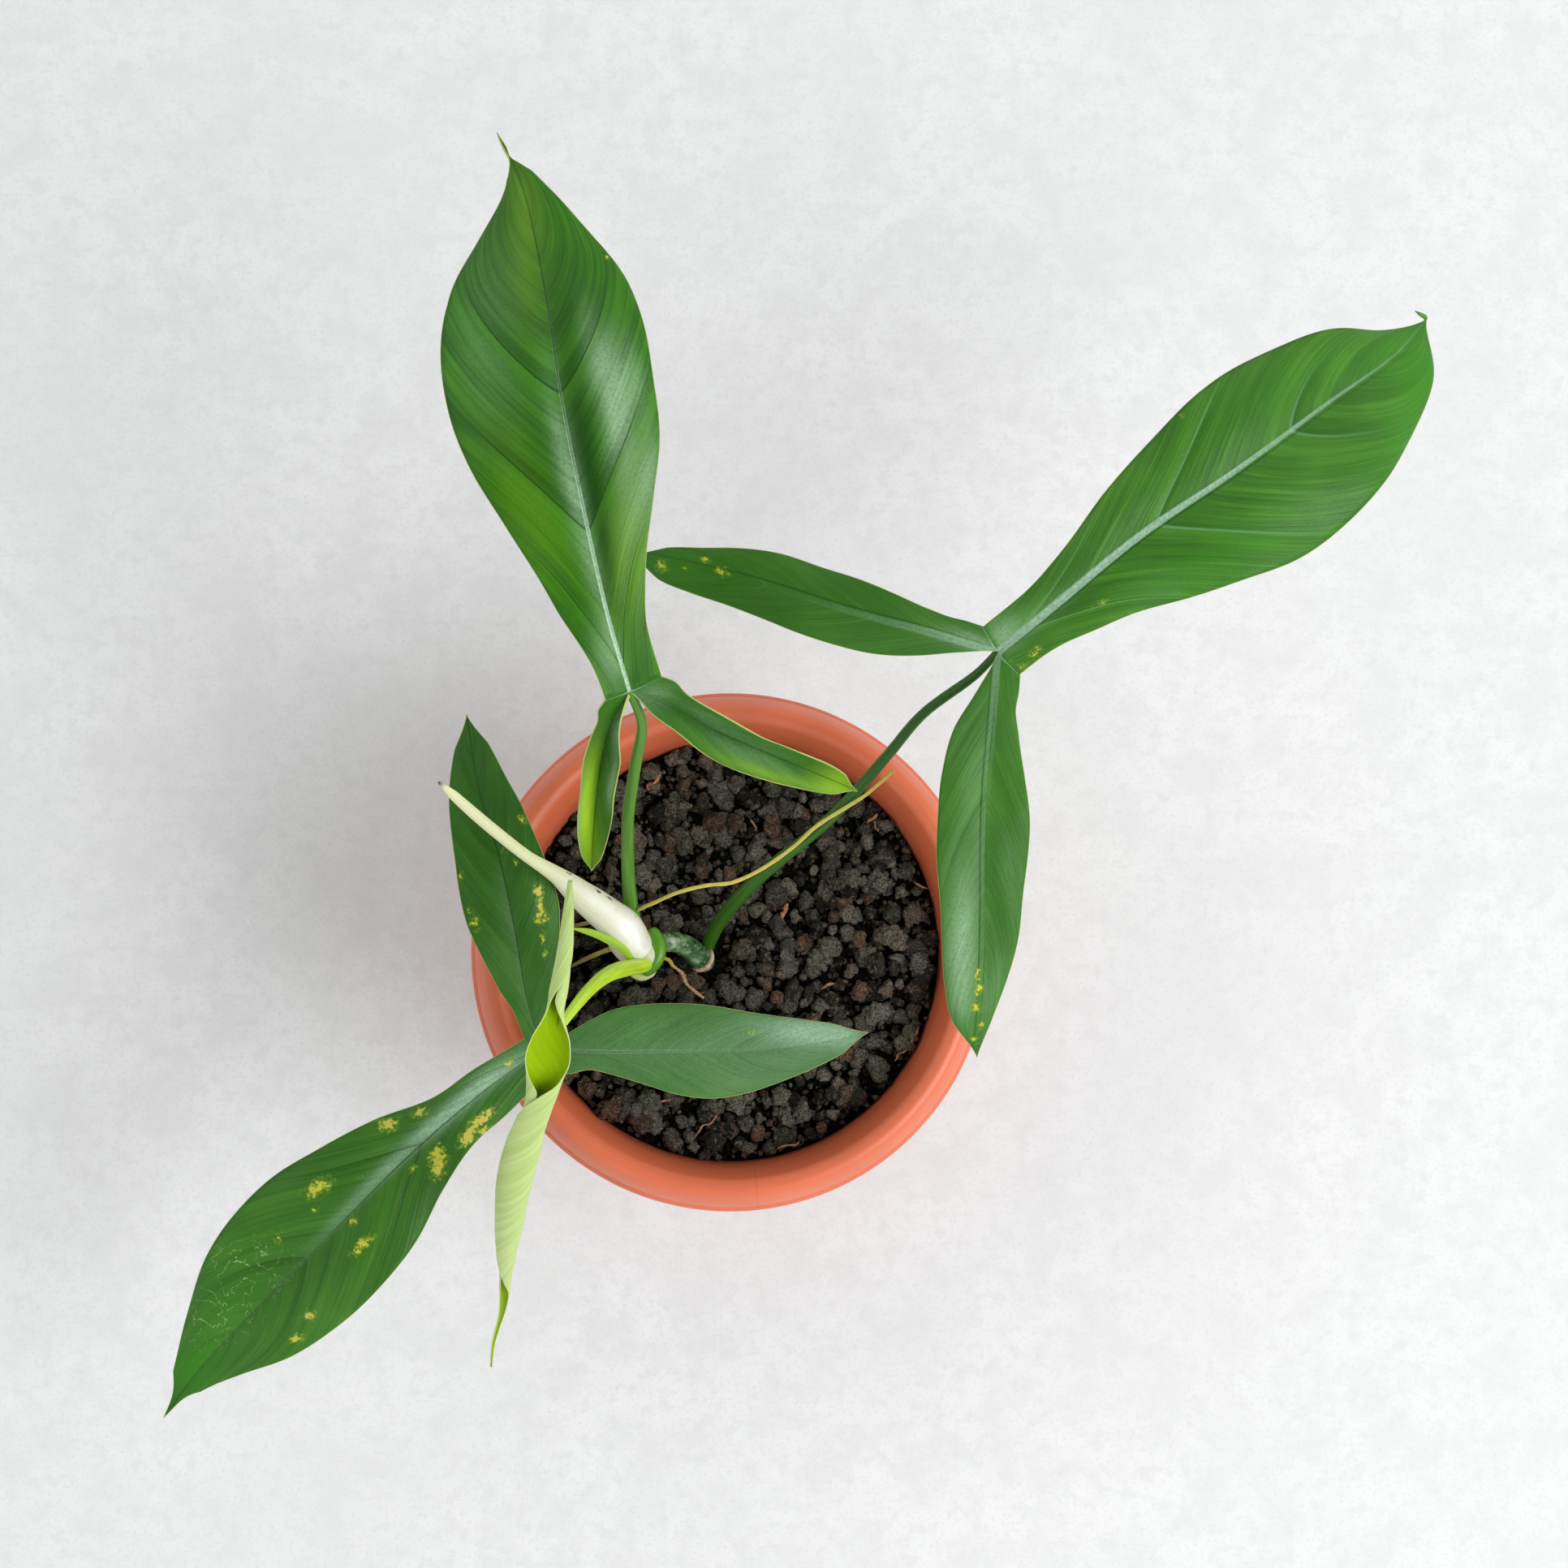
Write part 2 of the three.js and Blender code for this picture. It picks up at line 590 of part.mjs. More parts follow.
// New leaf: still a scroll, from the tip of its rolled side lobes over the open scoop at its junction to
// the drip tip of its rolled middle lobe
const newBlade = {
  axis: [[-52.7, 18.3, 227], [-53.2, 5.7, 233], [-54.2, -9.5, 239], [-56.7, -24.5, 241.5], [-59.2, -38, 240],
    [-61.5, -49.4, 233], [-65.3, -60, 223], [-69.6, -73.9, 206.5], [-72.5, -89, 185], [-75.3, -107.3, 160],
    [-77.5, -121.7, 140], [-80.9, -133.7, 127], [-82.2, -143.1, 117]],
  rows: [
    { s: 0.0, radius: 0.6, from: 230, to: 310 },
    { s: 0.04, radius: 1.1, from: 180, to: 360 },
    { s: 0.08, radius: 1.6, from: 130, to: 410 },
    { s: 0.12, radius: 2.1, from: 80, to: 440 },
    { s: 0.15, radius: 2.4, from: 75, to: 445 },
    { s: 0.18, radius: 2.4, from: 100, to: 430 },
    { s: 0.205, radius: 3.1, from: 140, to: 400 },
    { s: 0.235, radius: 5.2, from: 158, to: 382 },
    { s: 0.26, radius: 6.4, from: 165, to: 378 },
    { s: 0.285, radius: 5.5, from: 158, to: 396 },
    { s: 0.31, radius: 4.7, from: 142, to: 450 },
    { s: 0.34, radius: 4.3, from: 125, to: 500 },
    { s: 0.37, radius: 4.4, from: 117, to: 525 },
    { s: 0.41, radius: 5.1, from: 117, to: 525 },
    { s: 0.455, radius: 5.3, from: 117, to: 525 },
    { s: 0.5, radius: 5.2, from: 117, to: 525 },
    { s: 0.56, radius: 4.7, from: 117, to: 525 },
    { s: 0.62, radius: 4, from: 117, to: 525 },
    { s: 0.69, radius: 2.9, from: 120, to: 515 },
    { s: 0.75, radius: 2.1, from: 132, to: 465 },
    { s: 0.82, radius: 1.5, from: 165, to: 375 },
    { s: 0.9, radius: 0.7, from: 195, to: 345 },
    { s: 1.0, radius: 0.5, from: 235, to: 305 },
  ],
  columns: 16,
  growth: 1.3,
  half: 0.32,
};

// Blades: lobe widths are half widths to the left and to the right of travel, at even steps along the
// midrib. fold is the rise of each half beside the midrib, arch its droop towards the margin.

const backBlade = {
  leftNotch: [-41.4, 72.2, 254.5],
  rightNotch: [-24.2, 79.6, 254],
  rootRise: 0.5,
  middle: {
    midrib: [[-34, 75.3, 252], [-40, 95, 260], [-46, 120, 264], [-54.8, 162.6, 264], [-60.2, 197, 259],
      [-68, 233, 248], [-76.5, 253, 240]],
    left: [9, 12, 17, 24, 31, 34.5, 34, 28, 17, 3.8, 0],
    right: [10, 11, 15, 21.5, 27.5, 29, 28, 24, 14, 6.2, 0],
    fold: [0.3, 0.3],
    arch: -0.28,
    wave: 2.2,
    waves: 3.2,
    phase: 0.6,
    drip: 0.45,
  },
  leftLobe: {
    midrib: [[-34, 75.3, 252], [-39, 67.8, 244], [-42.6, 58, 227], [-44.8, 47, 207], [-46.4, 35.4, 188],
      [-47.2, 24.4, 172]],
    left: [0, 2.7, 4.8, 6.4, 6.2, 5.8, 6, 5.6, 4.6, 2.9, 0],
    right: [8, 3.4, 4.4, 5.1, 5.2, 5.2, 5.3, 5, 4.3, 3, 0],
    fold: [0.9, 0.9],
    arch: -0.15,
    wave: 1,
    waves: 2.2,
    phase: 1,
    drip: 0,
  },
  rightLobe: {
    midrib: [[-34, 75.3, 252], [-22, 71.6, 243.5], [-6, 65, 228], [14, 58.6, 209], [31, 53.6, 190.5],
      [40.4, 50.6, 181]],
    left: [9, 5, 4.8, 4.6, 4, 3.6, 3.8, 3.7, 3.6, 2.8, 0],
    right: [0, 4.8, 6.6, 8.2, 9, 9, 8.4, 7.2, 6, 4, 0],
    fold: [1.3, 0.35],
    arch: -0.12,
    wave: 1.2,
    waves: 2.4,
    phase: 2.4,
    drip: 0.1,
  },
};

const rightBlade = {
  leftNotch: [79.4, 102, 207],
  rightNotch: [91.4, 86.6, 206],
  rootRise: 0.6,
  middle: {
    midrib: [[84.4, 94, 205], [102.6, 108.7, 212], [129.5, 130.7, 216], [160, 151.6, 214.4],
      [193.7, 176.8, 207], [217.5, 194.6, 196], [231.5, 209.6, 184]],
    left: [9, 9.5, 12.5, 18, 23, 27, 27.5, 24.5, 19, 9, 0],
    right: [10, 12.5, 17.5, 25, 30.5, 35, 35, 31.5, 25, 15, 0],
    fold: [0.3, 0.3],
    arch: -0.3,
    wave: 2.2,
    waves: 3.6,
    phase: 2.2,
    drip: 0,
  },
  leftLobe: {
    midrib: [[84.4, 94, 205], [63, 99.5, 207.4], [34.5, 107.1, 206.6], [6.3, 116.4, 202.5], [-20, 123.5, 196],
      [-35.3, 127.4, 190]],
    left: [0, 3.8, 8.2, 11, 11.9, 11.8, 10.6, 9.4, 8.5, 6.2, 0],
    right: [9, 6.8, 7.4, 9.4, 11, 11.3, 11.4, 9.7, 7.2, 4.7, 0],
    fold: [0.3, 0.3],
    arch: -0.3,
    wave: 1.3,
    waves: 2.6,
    phase: 0.4,
    drip: 0.1,
  },
  rightLobe: {
    midrib: [[84.4, 94, 205], [82.6, 75.2, 206.4], [80.5, 51.4, 205.4], [80, 28.8, 201.4], [80.5, 4.2, 195],
      [80.2, -21.9, 186], [79.5, -36.7, 179]],
    left: [9, 6.8, 9, 12, 14.2, 14, 12.3, 10.7, 7.6, 3.6, 0],
    right: [0, 5.8, 12.4, 14.8, 15.3, 15.6, 14.6, 13.7, 12.6, 9.4, 0],
    fold: [0.35, 0.35],
    arch: -0.32,
    wave: 1.4,
    waves: 2.8,
    phase: 1.7,
    drip: 0,
  },
};

const frontBlade = {
  leftNotch: [-59, -42, 160],
  rightNotch: [-69.5, -30.4, 160.5],
  rootRise: 0.6,
  middle: {
    midrib: [[-63.7, -34.1, 158.4], [-83.2, -48.3, 163], [-108.3, -70.3, 164], [-134.8, -96.8, 159],
      [-157.8, -119.5, 150], [-181, -144, 135.5], [-192.3, -158.8, 125]],
    left: [9, 11, 11.5, 16, 22, 24, 23.4, 20, 12, 5, 0],
    right: [8, 8, 9, 16.4, 22.4, 27, 27, 23, 15.5, 6.4, 0],
    fold: [0.32, 0.32],
    arch: -0.3,
    wave: 2,
    waves: 3.4,
    phase: 4,
    drip: 0.4,
  },
  leftLobe: {
    midrib: [[-63.7, -34.1, 158.4], [-40.1, -34.9, 161.5], [-14, -34.6, 162], [12.4, -34.1, 158.5],
      [33, -31.3, 151.4], [46.3, -28.3, 145.5]],
    left: [0, 7.5, 13.6, 15.6, 15.8, 15, 13, 11, 8.5, 5, 0],
    right: [9, 5.4, 7.3, 10.7, 14.4, 15.8, 14.2, 11, 8, 4.8, 0],
    fold: [0.16, 0.16],
    arch: -0.2,
    wave: 1.2,
    waves: 2.2,
    phase: 0,
    drip: 0.1,
  },
  rightLobe: {
    midrib: [[-63.7, -34.1, 158.4], [-68.5, -18.5, 162], [-72.4, 4, 166], [-77.7, 28.4, 167.4],
      [-85, 52, 164.5], [-89.9, 78.3, 156]],
    left: [8, 5.6, 8.7, 12.5, 15.2, 15.4, 14, 11.8, 9, 5.4, 0],
    right: [0, 5, 10.6, 13.8, 15.9, 15, 13.3, 11.9, 9.2, 5.6, 0],
    fold: [0.34, 0.34],
    arch: -0.3,
    wave: 1.4,
    waves: 2.6,
    phase: 3,
    drip: 0.1,
  },
};

// Assembly

const plant = new THREE.Group();

function add(name, geometry, color, roughness) {
  const material = new THREE.MeshStandardMaterial({ color, roughness, metalness: 0 });
  const mesh = new THREE.Mesh(geometry, material);
  mesh.name = name;
  plant.add(mesh);
}

add('pot', potGeometry(), '#c96a48', 0.5);
add('soil', soilGeometry([stem, rightStalk, frontStalk, brownRoot, leftRoot, smallRoot].map(swollen)),
  '#2e2925', 0.95);
add('stem', rod(stem), '#3c5a44', 0.4);
add('leaf_back_stalk', backStalkGeometry(), '#4f8a3c', 0.45);
add('leaf_right_stalk', cut(rod(rightStalk), swollen(stem)), '#3f7d2e', 0.4);
add('leaf_front_stalk', rod(frontStalk), '#3f7d2e', 0.4);
add('leaf_new_stalk', rod(newStalk), '#a4c832', 0.4);
add('cataphyll', scroll(cataphyll), '#dedfcb', 0.5);
add('inner_sheath', scroll(innerSheath), '#b4c86e', 0.5);
add('leaf_back_blade', blade(backBlade), '#2f6b2c', 0.35);
add('leaf_right_blade', blade(rightBlade), '#2f6b2c', 0.35);
add('leaf_front_blade', blade(frontBlade), '#2f6b3a', 0.4);
add('leaf_new_blade', scroll(newBlade), '#b4d264', 0.4);
add('root_long', cut(rod(longRoot), swollen(backStalk), swollen(rightStalk)), '#c8b450', 0.6);
add('root_left', rod(leftRoot), '#8c8c3c', 0.6);
add('root_small', rod(smallRoot), '#9a963c', 0.6);
add('root_brown', rod(brownRoot), '#8a5a3c', 0.7);

export default plant;
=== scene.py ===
"""Potted philodendron with three-lobed leaves: the looks of its pieces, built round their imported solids."""

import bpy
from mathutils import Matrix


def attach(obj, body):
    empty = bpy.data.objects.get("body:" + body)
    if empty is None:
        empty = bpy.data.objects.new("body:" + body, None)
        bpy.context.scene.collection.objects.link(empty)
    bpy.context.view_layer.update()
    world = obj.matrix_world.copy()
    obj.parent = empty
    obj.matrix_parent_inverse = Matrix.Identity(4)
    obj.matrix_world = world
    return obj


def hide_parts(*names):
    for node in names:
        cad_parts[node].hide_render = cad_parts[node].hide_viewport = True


bl_info = {
    "name": "Potted Philodendron",
    "version": (1, 0, 0),
    "blender": (4, 5, 0),
    "location": "3D View > Sidebar > Plant",
    "description": "Builds a potted philodendron with lobed leaves, gritty soil and a plastic pot",
    "category": "Add Mesh",
}

import math

import bpy
import numpy as np
from bpy.props import FloatProperty, FloatVectorProperty, IntProperty, PointerProperty
from mathutils import Matrix, Vector

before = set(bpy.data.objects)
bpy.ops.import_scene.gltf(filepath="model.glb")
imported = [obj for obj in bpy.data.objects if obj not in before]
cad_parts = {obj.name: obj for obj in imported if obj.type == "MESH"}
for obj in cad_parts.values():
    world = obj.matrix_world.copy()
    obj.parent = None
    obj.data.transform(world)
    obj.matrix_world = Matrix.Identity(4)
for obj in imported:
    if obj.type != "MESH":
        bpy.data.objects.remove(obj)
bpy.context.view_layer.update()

MM = 0.001
BODY = "root"

# Pot, in millimetres
POT_HEIGHT = 135.0
POT_BASE_RADIUS = 60.0
POT_NECK_RADIUS = 76.0
POT_NECK_HEIGHT = 118.0
POT_WALL = 2.2
POT_FLOOR = 2.4
RIM_RADIUS = 90.0
RIM_CREST_RADIUS = 81.5
RIM_LIP_HEIGHT = 118.4
DRAIN_HOLES = 6
DRAIN_HOLE_RADIUS = 4.5
DRAIN_CIRCLE_RADIUS = 42.0
POT_SIDES = 192

# Soil
SOIL_LEVEL = 116.0
SOIL_CLEARANCE = 0.65
GAP = 0.3
BED_LEVEL = SOIL_LEVEL - 2.6
BED_EDGE_DROP = 1.2
CHIP_LEVEL = SOIL_LEVEL + 1.6
GRAIN_FLATNESS = 0.85
LARGE_GRAINS = 110
TRIES_FOR_EACH_GRAIN = 40
# Where stem and stalks stand in the soil: x, y and the radius that grains keep clear of
KEPT_CLEAR = [(-8.5, -4.5, 7.5), (-7.5, 3, 5), (-28, -33.3, 5)]
# Splinters, chips and fibres on the soil: x, y, turn in degrees, length and radius
CHIPS = [(-26.8, 59, 55, 9, 0.8), (18.6, 13.7, 70, 6, 0.9), (49.7, 46.3, 40, 5, 0.6),
         (51, 43.5, 110, 4, 0.5), (63.9, -30.2, 65, 9, 0.45), (59, -36, 40, 7, 0.4),
         (-8.4, -61.3, 50, 13, 0.35), (20, -68, 15, 8, 0.4), (66.5, 23, 160, 6, 0.4),
         (-24, -52, 10, 6, 0.5), (8, 44, 120, 5, 0.4), (34, -12, 20, 5, 0.45)]

# Stage: floor in millimetres, light and camera in metres
FLOOR_HALF_SIDE = 2500.0
FLOOR_STEPS = 60
SKY_FADE = (0.74, 0.95)
SKY_OVERHEAD = 0.15
WINDOW_PLACE = (1.5, -0.55, 1.9)
CAMERA_LENS = 68.944
CAMERA_PLACE = (-0.023012, -0.031446, 1.164843)
CAMERA_AXES = ((0.99921207, 0.0, 0.03968928), (-0.00338934, 0.99634702, 0.08532957),
               (-0.0395443, -0.08539686, 0.99556196))

ROUTE_STEPS = 900


# Numbers and curves

def smooth(t):
    t = np.clip(t, 0, 1)
    return t * t * (3 - 2 * t)


def along(values, s):
    """Smooth values at s, from 0 to 1, through values at even steps."""
    v = np.asarray(values, float)
    place = np.clip(s, 0, 1) * (len(v) - 1)
    k = np.minimum(place.astype(int), len(v) - 2)
    t = place - k
    slope0 = (v[k + 1] - v[np.maximum(k - 1, 0)]) / 2
    slope1 = (v[np.minimum(k + 2, len(v) - 1)] - v[k]) / 2
    t2, t3 = t * t, t * t * t
    return (v[k] * (2 * t3 - 3 * t2 + 1) + slope0 * (t3 - 2 * t2 + t)
            + v[k + 1] * (3 * t2 - 2 * t3) + slope1 * (t3 - t2))


def steady(places, values, s):
    """Smooth values at s through values at uneven places, with no overshoot."""
    x, y = np.asarray(places, float), np.asarray(values, float)
    step = np.diff(x)
    rise = np.diff(y) / step
    slope = np.empty(len(x))
    slope[0], slope[-1] = rise[0], rise[-1]
    for k in range(1, len(x) - 1):
        if rise[k - 1] * rise[k] <= 0:
            slope[k] = 0
        else:
            before, after = 2 * step[k] + step[k - 1], step[k] + 2 * step[k - 1]
            slope[k] = (before + after) / (before / rise[k - 1] + after / rise[k])
    k = np.clip(np.searchsorted(x, s, side="right") - 1, 0, len(step) - 1)
    t = (s - x[k]) / step[k]
    t2, t3 = t * t, t * t * t
    return (y[k] * (2 * t3 - 3 * t2 + 1) + slope[k] * step[k] * (t3 - 2 * t2 + t)
            + y[k + 1] * (3 * t2 - 2 * t3) + slope[k + 1] * step[k] * (t3 - t2))


def unit(vectors):
    return vectors / np.maximum(np.linalg.norm(vectors, axis=-1, keepdims=True), 1e-12)


class Route:
    """Smooth curve through points, walked by its share of the length."""

    def __init__(self, points):
        p = np.array(points, float)
        p = np.vstack([2 * p[0] - p[1], p, 2 * p[-1] - p[-2]])
        t = np.linspace(0, len(p) - 3, ROUTE_STEPS + 1)
        k = np.minimum(t.astype(int), len(p) - 4)
        w = (t - k)[:, None]
        a, b, c, d = p[k], p[k + 1], p[k + 2], p[k + 3]
        ab = np.linalg.norm(b - a, axis=1, keepdims=True) ** 0.5
        bc = np.linalg.norm(c - b, axis=1, keepdims=True) ** 0.5
        cd = np.linalg.norm(d - c, axis=1, keepdims=True) ** 0.5
        start = ((b - a) / ab - (c - a) / (ab + bc) + (c - b) / bc) * bc
        end = ((c - b) / bc - (d - b) / (bc + cd) + (d - c) / cd) * bc
        self.points = (b + start * w + (3 * (c - b) - 2 * start - end) * w ** 2
                       + (2 * (b - c) + start + end) * w ** 3)
        walked = np.concatenate([[0], np.cumsum(np.linalg.norm(np.diff(self.points, axis=0), axis=1))])
        self.length = walked[-1]
        self.shares = walked / walked[-1]

    def at(self, s):
        return np.stack([np.interp(s, self.shares, self.points[:, k]) for k in range(3)], -1)

    def tangent(self, s):
        step = 0.004
        return unit(self.at(np.minimum(s + step, 1)) - self.at(np.maximum(s - step, 0)))

    def sections(self, s):
        """Point, level left and up at each s."""
        tangent = self.tangent(s)
        left = unit(np.cross([0.0, 0.0, 1.0], tangent))
        return self.at(s), left, np.cross(tangent, left)


# Shapes: points in millimetres, faces, the finish of each face and fields that the finishes read

class Shape:
    def __init__(self, points, faces, kinds=None, **fields):
        self.points = np.asarray(points, float)
        self.faces = [list(face) for face in faces]
        self.kinds = list(kinds) if kinds is not None else [0] * len(self.faces)
        self.fields = {name: np.asarray(values, float) for name, values in fields.items()}

    def __add__(self, other):
        count = len(self.points)
        faces = self.faces + [[k + count for k in face] for face in other.faces]
        fields = {name: np.vstack([values, other.fields[name]]) for name, values in self.fields.items()}
        return Shape(np.vstack([self.points, other.points]), faces, self.kinds + other.kinds, **fields)


def mesh_of(name, shape):
    mesh = bpy.data.meshes.new(name)
    mesh.from_pydata((shape.points * MM).tolist(), [], shape.faces)
    for field, values in shape.fields.items():
        layer = mesh.attributes.new(field, "FLOAT_VECTOR", "POINT")
        layer.data.foreach_set("vector", values.astype(np.float32).ravel())
    mesh.polygons.foreach_set("material_index", shape.kinds)
    mesh.shade_smooth()
    mesh.update()
    return mesh


def piece(name, shape, finishes, replaces=()):
    """Adds a piece of the object with its finishes, and lets it stand for the solids that it replaces."""
    made = bpy.data.objects.new(name, mesh_of(name, shape))
    bpy.context.scene.collection.objects.link(made)
    for finish in finishes:
        made.data.materials.append(finish)
    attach(made, BODY)
    if replaces:
        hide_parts(*replaces)
    return made


def cut_away(made, *cutters):
    """Takes the cutters' shapes out of a piece."""
    tools = []
    for k, shape in enumerate(cutters):
        tool = bpy.data.objects.new(f"{made.name}.cutter.{k}", mesh_of("cutter", shape))
        bpy.context.scene.collection.objects.link(tool)
        modifier = made.modifiers.new("Cut", "BOOLEAN")
        modifier.operation = "DIFFERENCE"
        modifier.solver = "EXACT"
        modifier.object = tool
        tools.append(tool)
    bpy.context.view_layer.update()
    evaluated = made.evaluated_get(bpy.context.evaluated_depsgraph_get())
    mesh = bpy.data.meshes.new_from_object(evaluated)
    if len(mesh.vertices) == 0:
        raise RuntimeError(f"cutting {made.name} left nothing of it")
    made.modifiers.clear()
    made.data = mesh
    for tool in tools:
        bpy.data.objects.remove(tool)


def grid_faces(rows, columns, closed=False):
    faces = []
    for r in range(rows - 1):
        for c in range(columns if closed else columns - 1):
            a = r * columns + c
            b = r * columns + (c + 1) % columns
            faces.append([a, b, b + columns, a + columns])
    return faces


def thicken(points, faces, above, under, **fields):
    """Closed body from an open sheet: finish 0 is on its upper face and edge, finish 1 on its lower face."""
    normals = np.zeros_like(points)
    for face in faces:
        corners = points[face]
        normal = np.cross(corners[2] - corners[0], corners[-1] - corners[1])
        normals[face] += normal
    normals = unit(normals)
    count = len(points)
    upper = points + normals * above[:, None]
    lower = points - normals * under[:, None]
    edges = {(face[k - 1], face[k]) for face in faces for k in range(len(face))}
    walls = [[b, a, a + count, b + count] for a, b in edges if (b, a) not in edges]
    back = [[k + count for k in reversed(face)] for face in faces]
    kinds = [0] * len(faces) + [1] * len(back) + [0] * len(walls)
    doubled = {name: np.vstack([values, values]) for name, values in fields.items()}
    return Shape(np.vstack([upper, lower]), faces + back + sorted(walls), kinds, **doubled)


def tube(route, radii, sides=28, rows=110, knob=0.0, knob_length=6.0, flat=0.0, seed=0):
    """Round rod along a route, with rounded ends and slow knobs on its skin."""
    curve = Route(route)
    radius_end = 0.9 * float(radii[-1]) / curve.length
    s = np.linspace(0, 1, rows)
    radius = along(radii, s)
    centre, tangent = curve.at(s), curve.tangent(s)
    normal = unit(np.cross(tangent[0], [0.3, 0.2, 1.0]))
    normals = []
    for t in tangent:
        normal = unit(normal - t * (normal @ t))
        normals.append(normal)
    normals = np.array(normals)
    binormals = np.cross(tangent, normals)
    random = np.random.default_rng(seed)
    phases = random.uniform(0, 2 * math.pi, (4, 2))
    angle = np.linspace(0, 2 * math.pi, sides, endpoint=False)
    length = s[:, None] * curve.length
    swell = np.zeros((rows, sides))
    for k, (first, second) in enumerate(phases):
        around = (k % 3) * angle[None, :] + first
        swell += np.sin(length * (1 + 0.7 * k) / knob_length * 2 * math.pi + second) * np.cos(around) / 4
    share = np.sqrt(np.clip(np.minimum(s, 1 - s) / max(radius_end, 1e-4), 0.03, 1))[:, None]
    reach = radius[:, None] * (1 + knob * swell) * share
    squash = 1 - flat * np.abs(np.sin(angle))[None, :]
    points = (centre[:, None] + normals[:, None] * (reach * squash * np.cos(angle))[..., None]
              + binormals[:, None] * (reach * squash * np.sin(angle))[..., None])
    skin = np.stack([np.broadcast_to(np.cos(angle), reach.shape), np.broadcast_to(np.sin(angle), reach.shape),
                     np.broadcast_to(length, reach.shape)], -1).reshape(-1, 3)
    share_field = np.zeros((rows, sides, 3))
    share_field[..., 0] = s[:, None]
    faces = grid_faces(rows, sides, closed=True)
    faces.append(list(range(sides))[::-1])
    faces.append([(rows - 1) * sides + k for k in range(sides)])
    return Shape(points.reshape(-1, 3), faces, skin=skin, walk=share_field.reshape(-1, 3))


def rounded(profile, cut=1.2, steps=4):
    """Profile of (radius, height) with its corners rounded."""
    p = np.array(profile, float)
    made = [p[0]]
    for k in range(1, len(p) - 1):
        back, ahead = p[k - 1] - p[k], p[k + 1] - p[k]
        trim = min(cut, 0.45 * np.linalg.norm(back), 0.45 * np.linalg.norm(ahead))
        start, end = p[k] + unit(back) * trim, p[k] + unit(ahead) * trim
        for w in np.linspace(0, 1, steps + 1):
            made.append((1 - w) ** 2 * start + 2 * w * (1 - w) * p[k] + w * w * end)
    made.append(p[-1])
    return np.array(made)


def turned(profile, segments):
    """Solid turned round Z from a profile that starts and ends on the axis."""
    inner = np.array(profile, float)[1:-1]
    angle = np.linspace(0, 2 * math.pi, segments, endpoint=False)
    points = np.stack([inner[:, 0, None] * np.cos(angle), inner[:, 0, None] * np.sin(angle),
                       np.broadcast_to(inner[:, 1, None], (len(inner), segments))], -1).reshape(-1, 3)
    faces = grid_faces(len(inner), segments, closed=True)
    low, high = len(points), len(points) + 1
    points = np.vstack([points, [[0, 0, profile[0][1]], [0, 0, profile[-1][1]]]])
    last = (len(inner) - 1) * segments
    for k in range(segments):
        ahead = (k + 1) % segments
        faces.append([low, ahead, k])
        faces.append([high, last + k, last + ahead])
    walk = np.zeros((len(points), 3))
    walk[:-2, 0] = np.repeat(np.arange(len(inner)) / (len(inner) - 1), segments)
    return Shape(points, faces, walk=walk)


def lean(shape, foot, head):
    """Turns and moves a shape so that its Z axis runs from foot to head."""
    axis = Vector(head) - Vector(foot)
    turn = np.array(axis.to_track_quat("Z", "Y").to_matrix())
    shape.points = shape.points @ turn.T + np.array(foot)
    return shape


# Finishes

# Fixed tints
POT_DUST = (0.75, 0.45, 0.32)
PORE_SHADE = (0.004, 0.004, 0.003)
BARK_SHADE = (0.16, 0.06, 0.03)
TRAIL = (0.42, 0.52, 0.24)
RIB_BELOW = (0.22, 0.36, 0.13)
STEM_SHADE = (0.01, 0.075, 0.008)
STEM_WAX = (0.3, 0.4, 0.27)
STEM_SCUFF = (0.55, 0.5, 0.34)
SCAR_LOW = (0.42, 0.27, 0.19)
SCAR_HIGH = (0.78, 0.58, 0.44)
SHEATH_RIB = (0.58, 0.6, 0.42)
SHEATH_CLOUD = (0.74, 0.74, 0.64)
SHEATH_BELLY = (0.76, 0.74, 0.66)
SHEATH_PAINTED_HIGHLIGHT = (0.93, 0.93, 0.9)
SHEATH_TAIL = (0.66, 0.7, 0.36)
SHEATH_MARGIN = (0.74, 0.72, 0.36)
SHEATH_FOOT = (0.66, 0.7, 0.3)
SHEATH_FLECK = (0.46, 0.47, 0.38)
SHEATH_DASH = (0.09, 0.1, 0.11)
SHEATH_TIP = (0.1, 0.05, 0.02)
NEW_LEAF_TEAR = (0.05, 0.05, 0.01)
NEW_LEAF_TIP = (0.28, 0.15, 0.05)
NEW_LEAF_NECK = (0.36, 0.5, 0.06)
NEW_LEAF_MARGIN = (0.68, 0.74, 0.36)
BOUNCE_CANCELLING_TINT = (0.95, 0.99, 1.0)


def shaded(colour, share):
    return [c * share for c in colour]


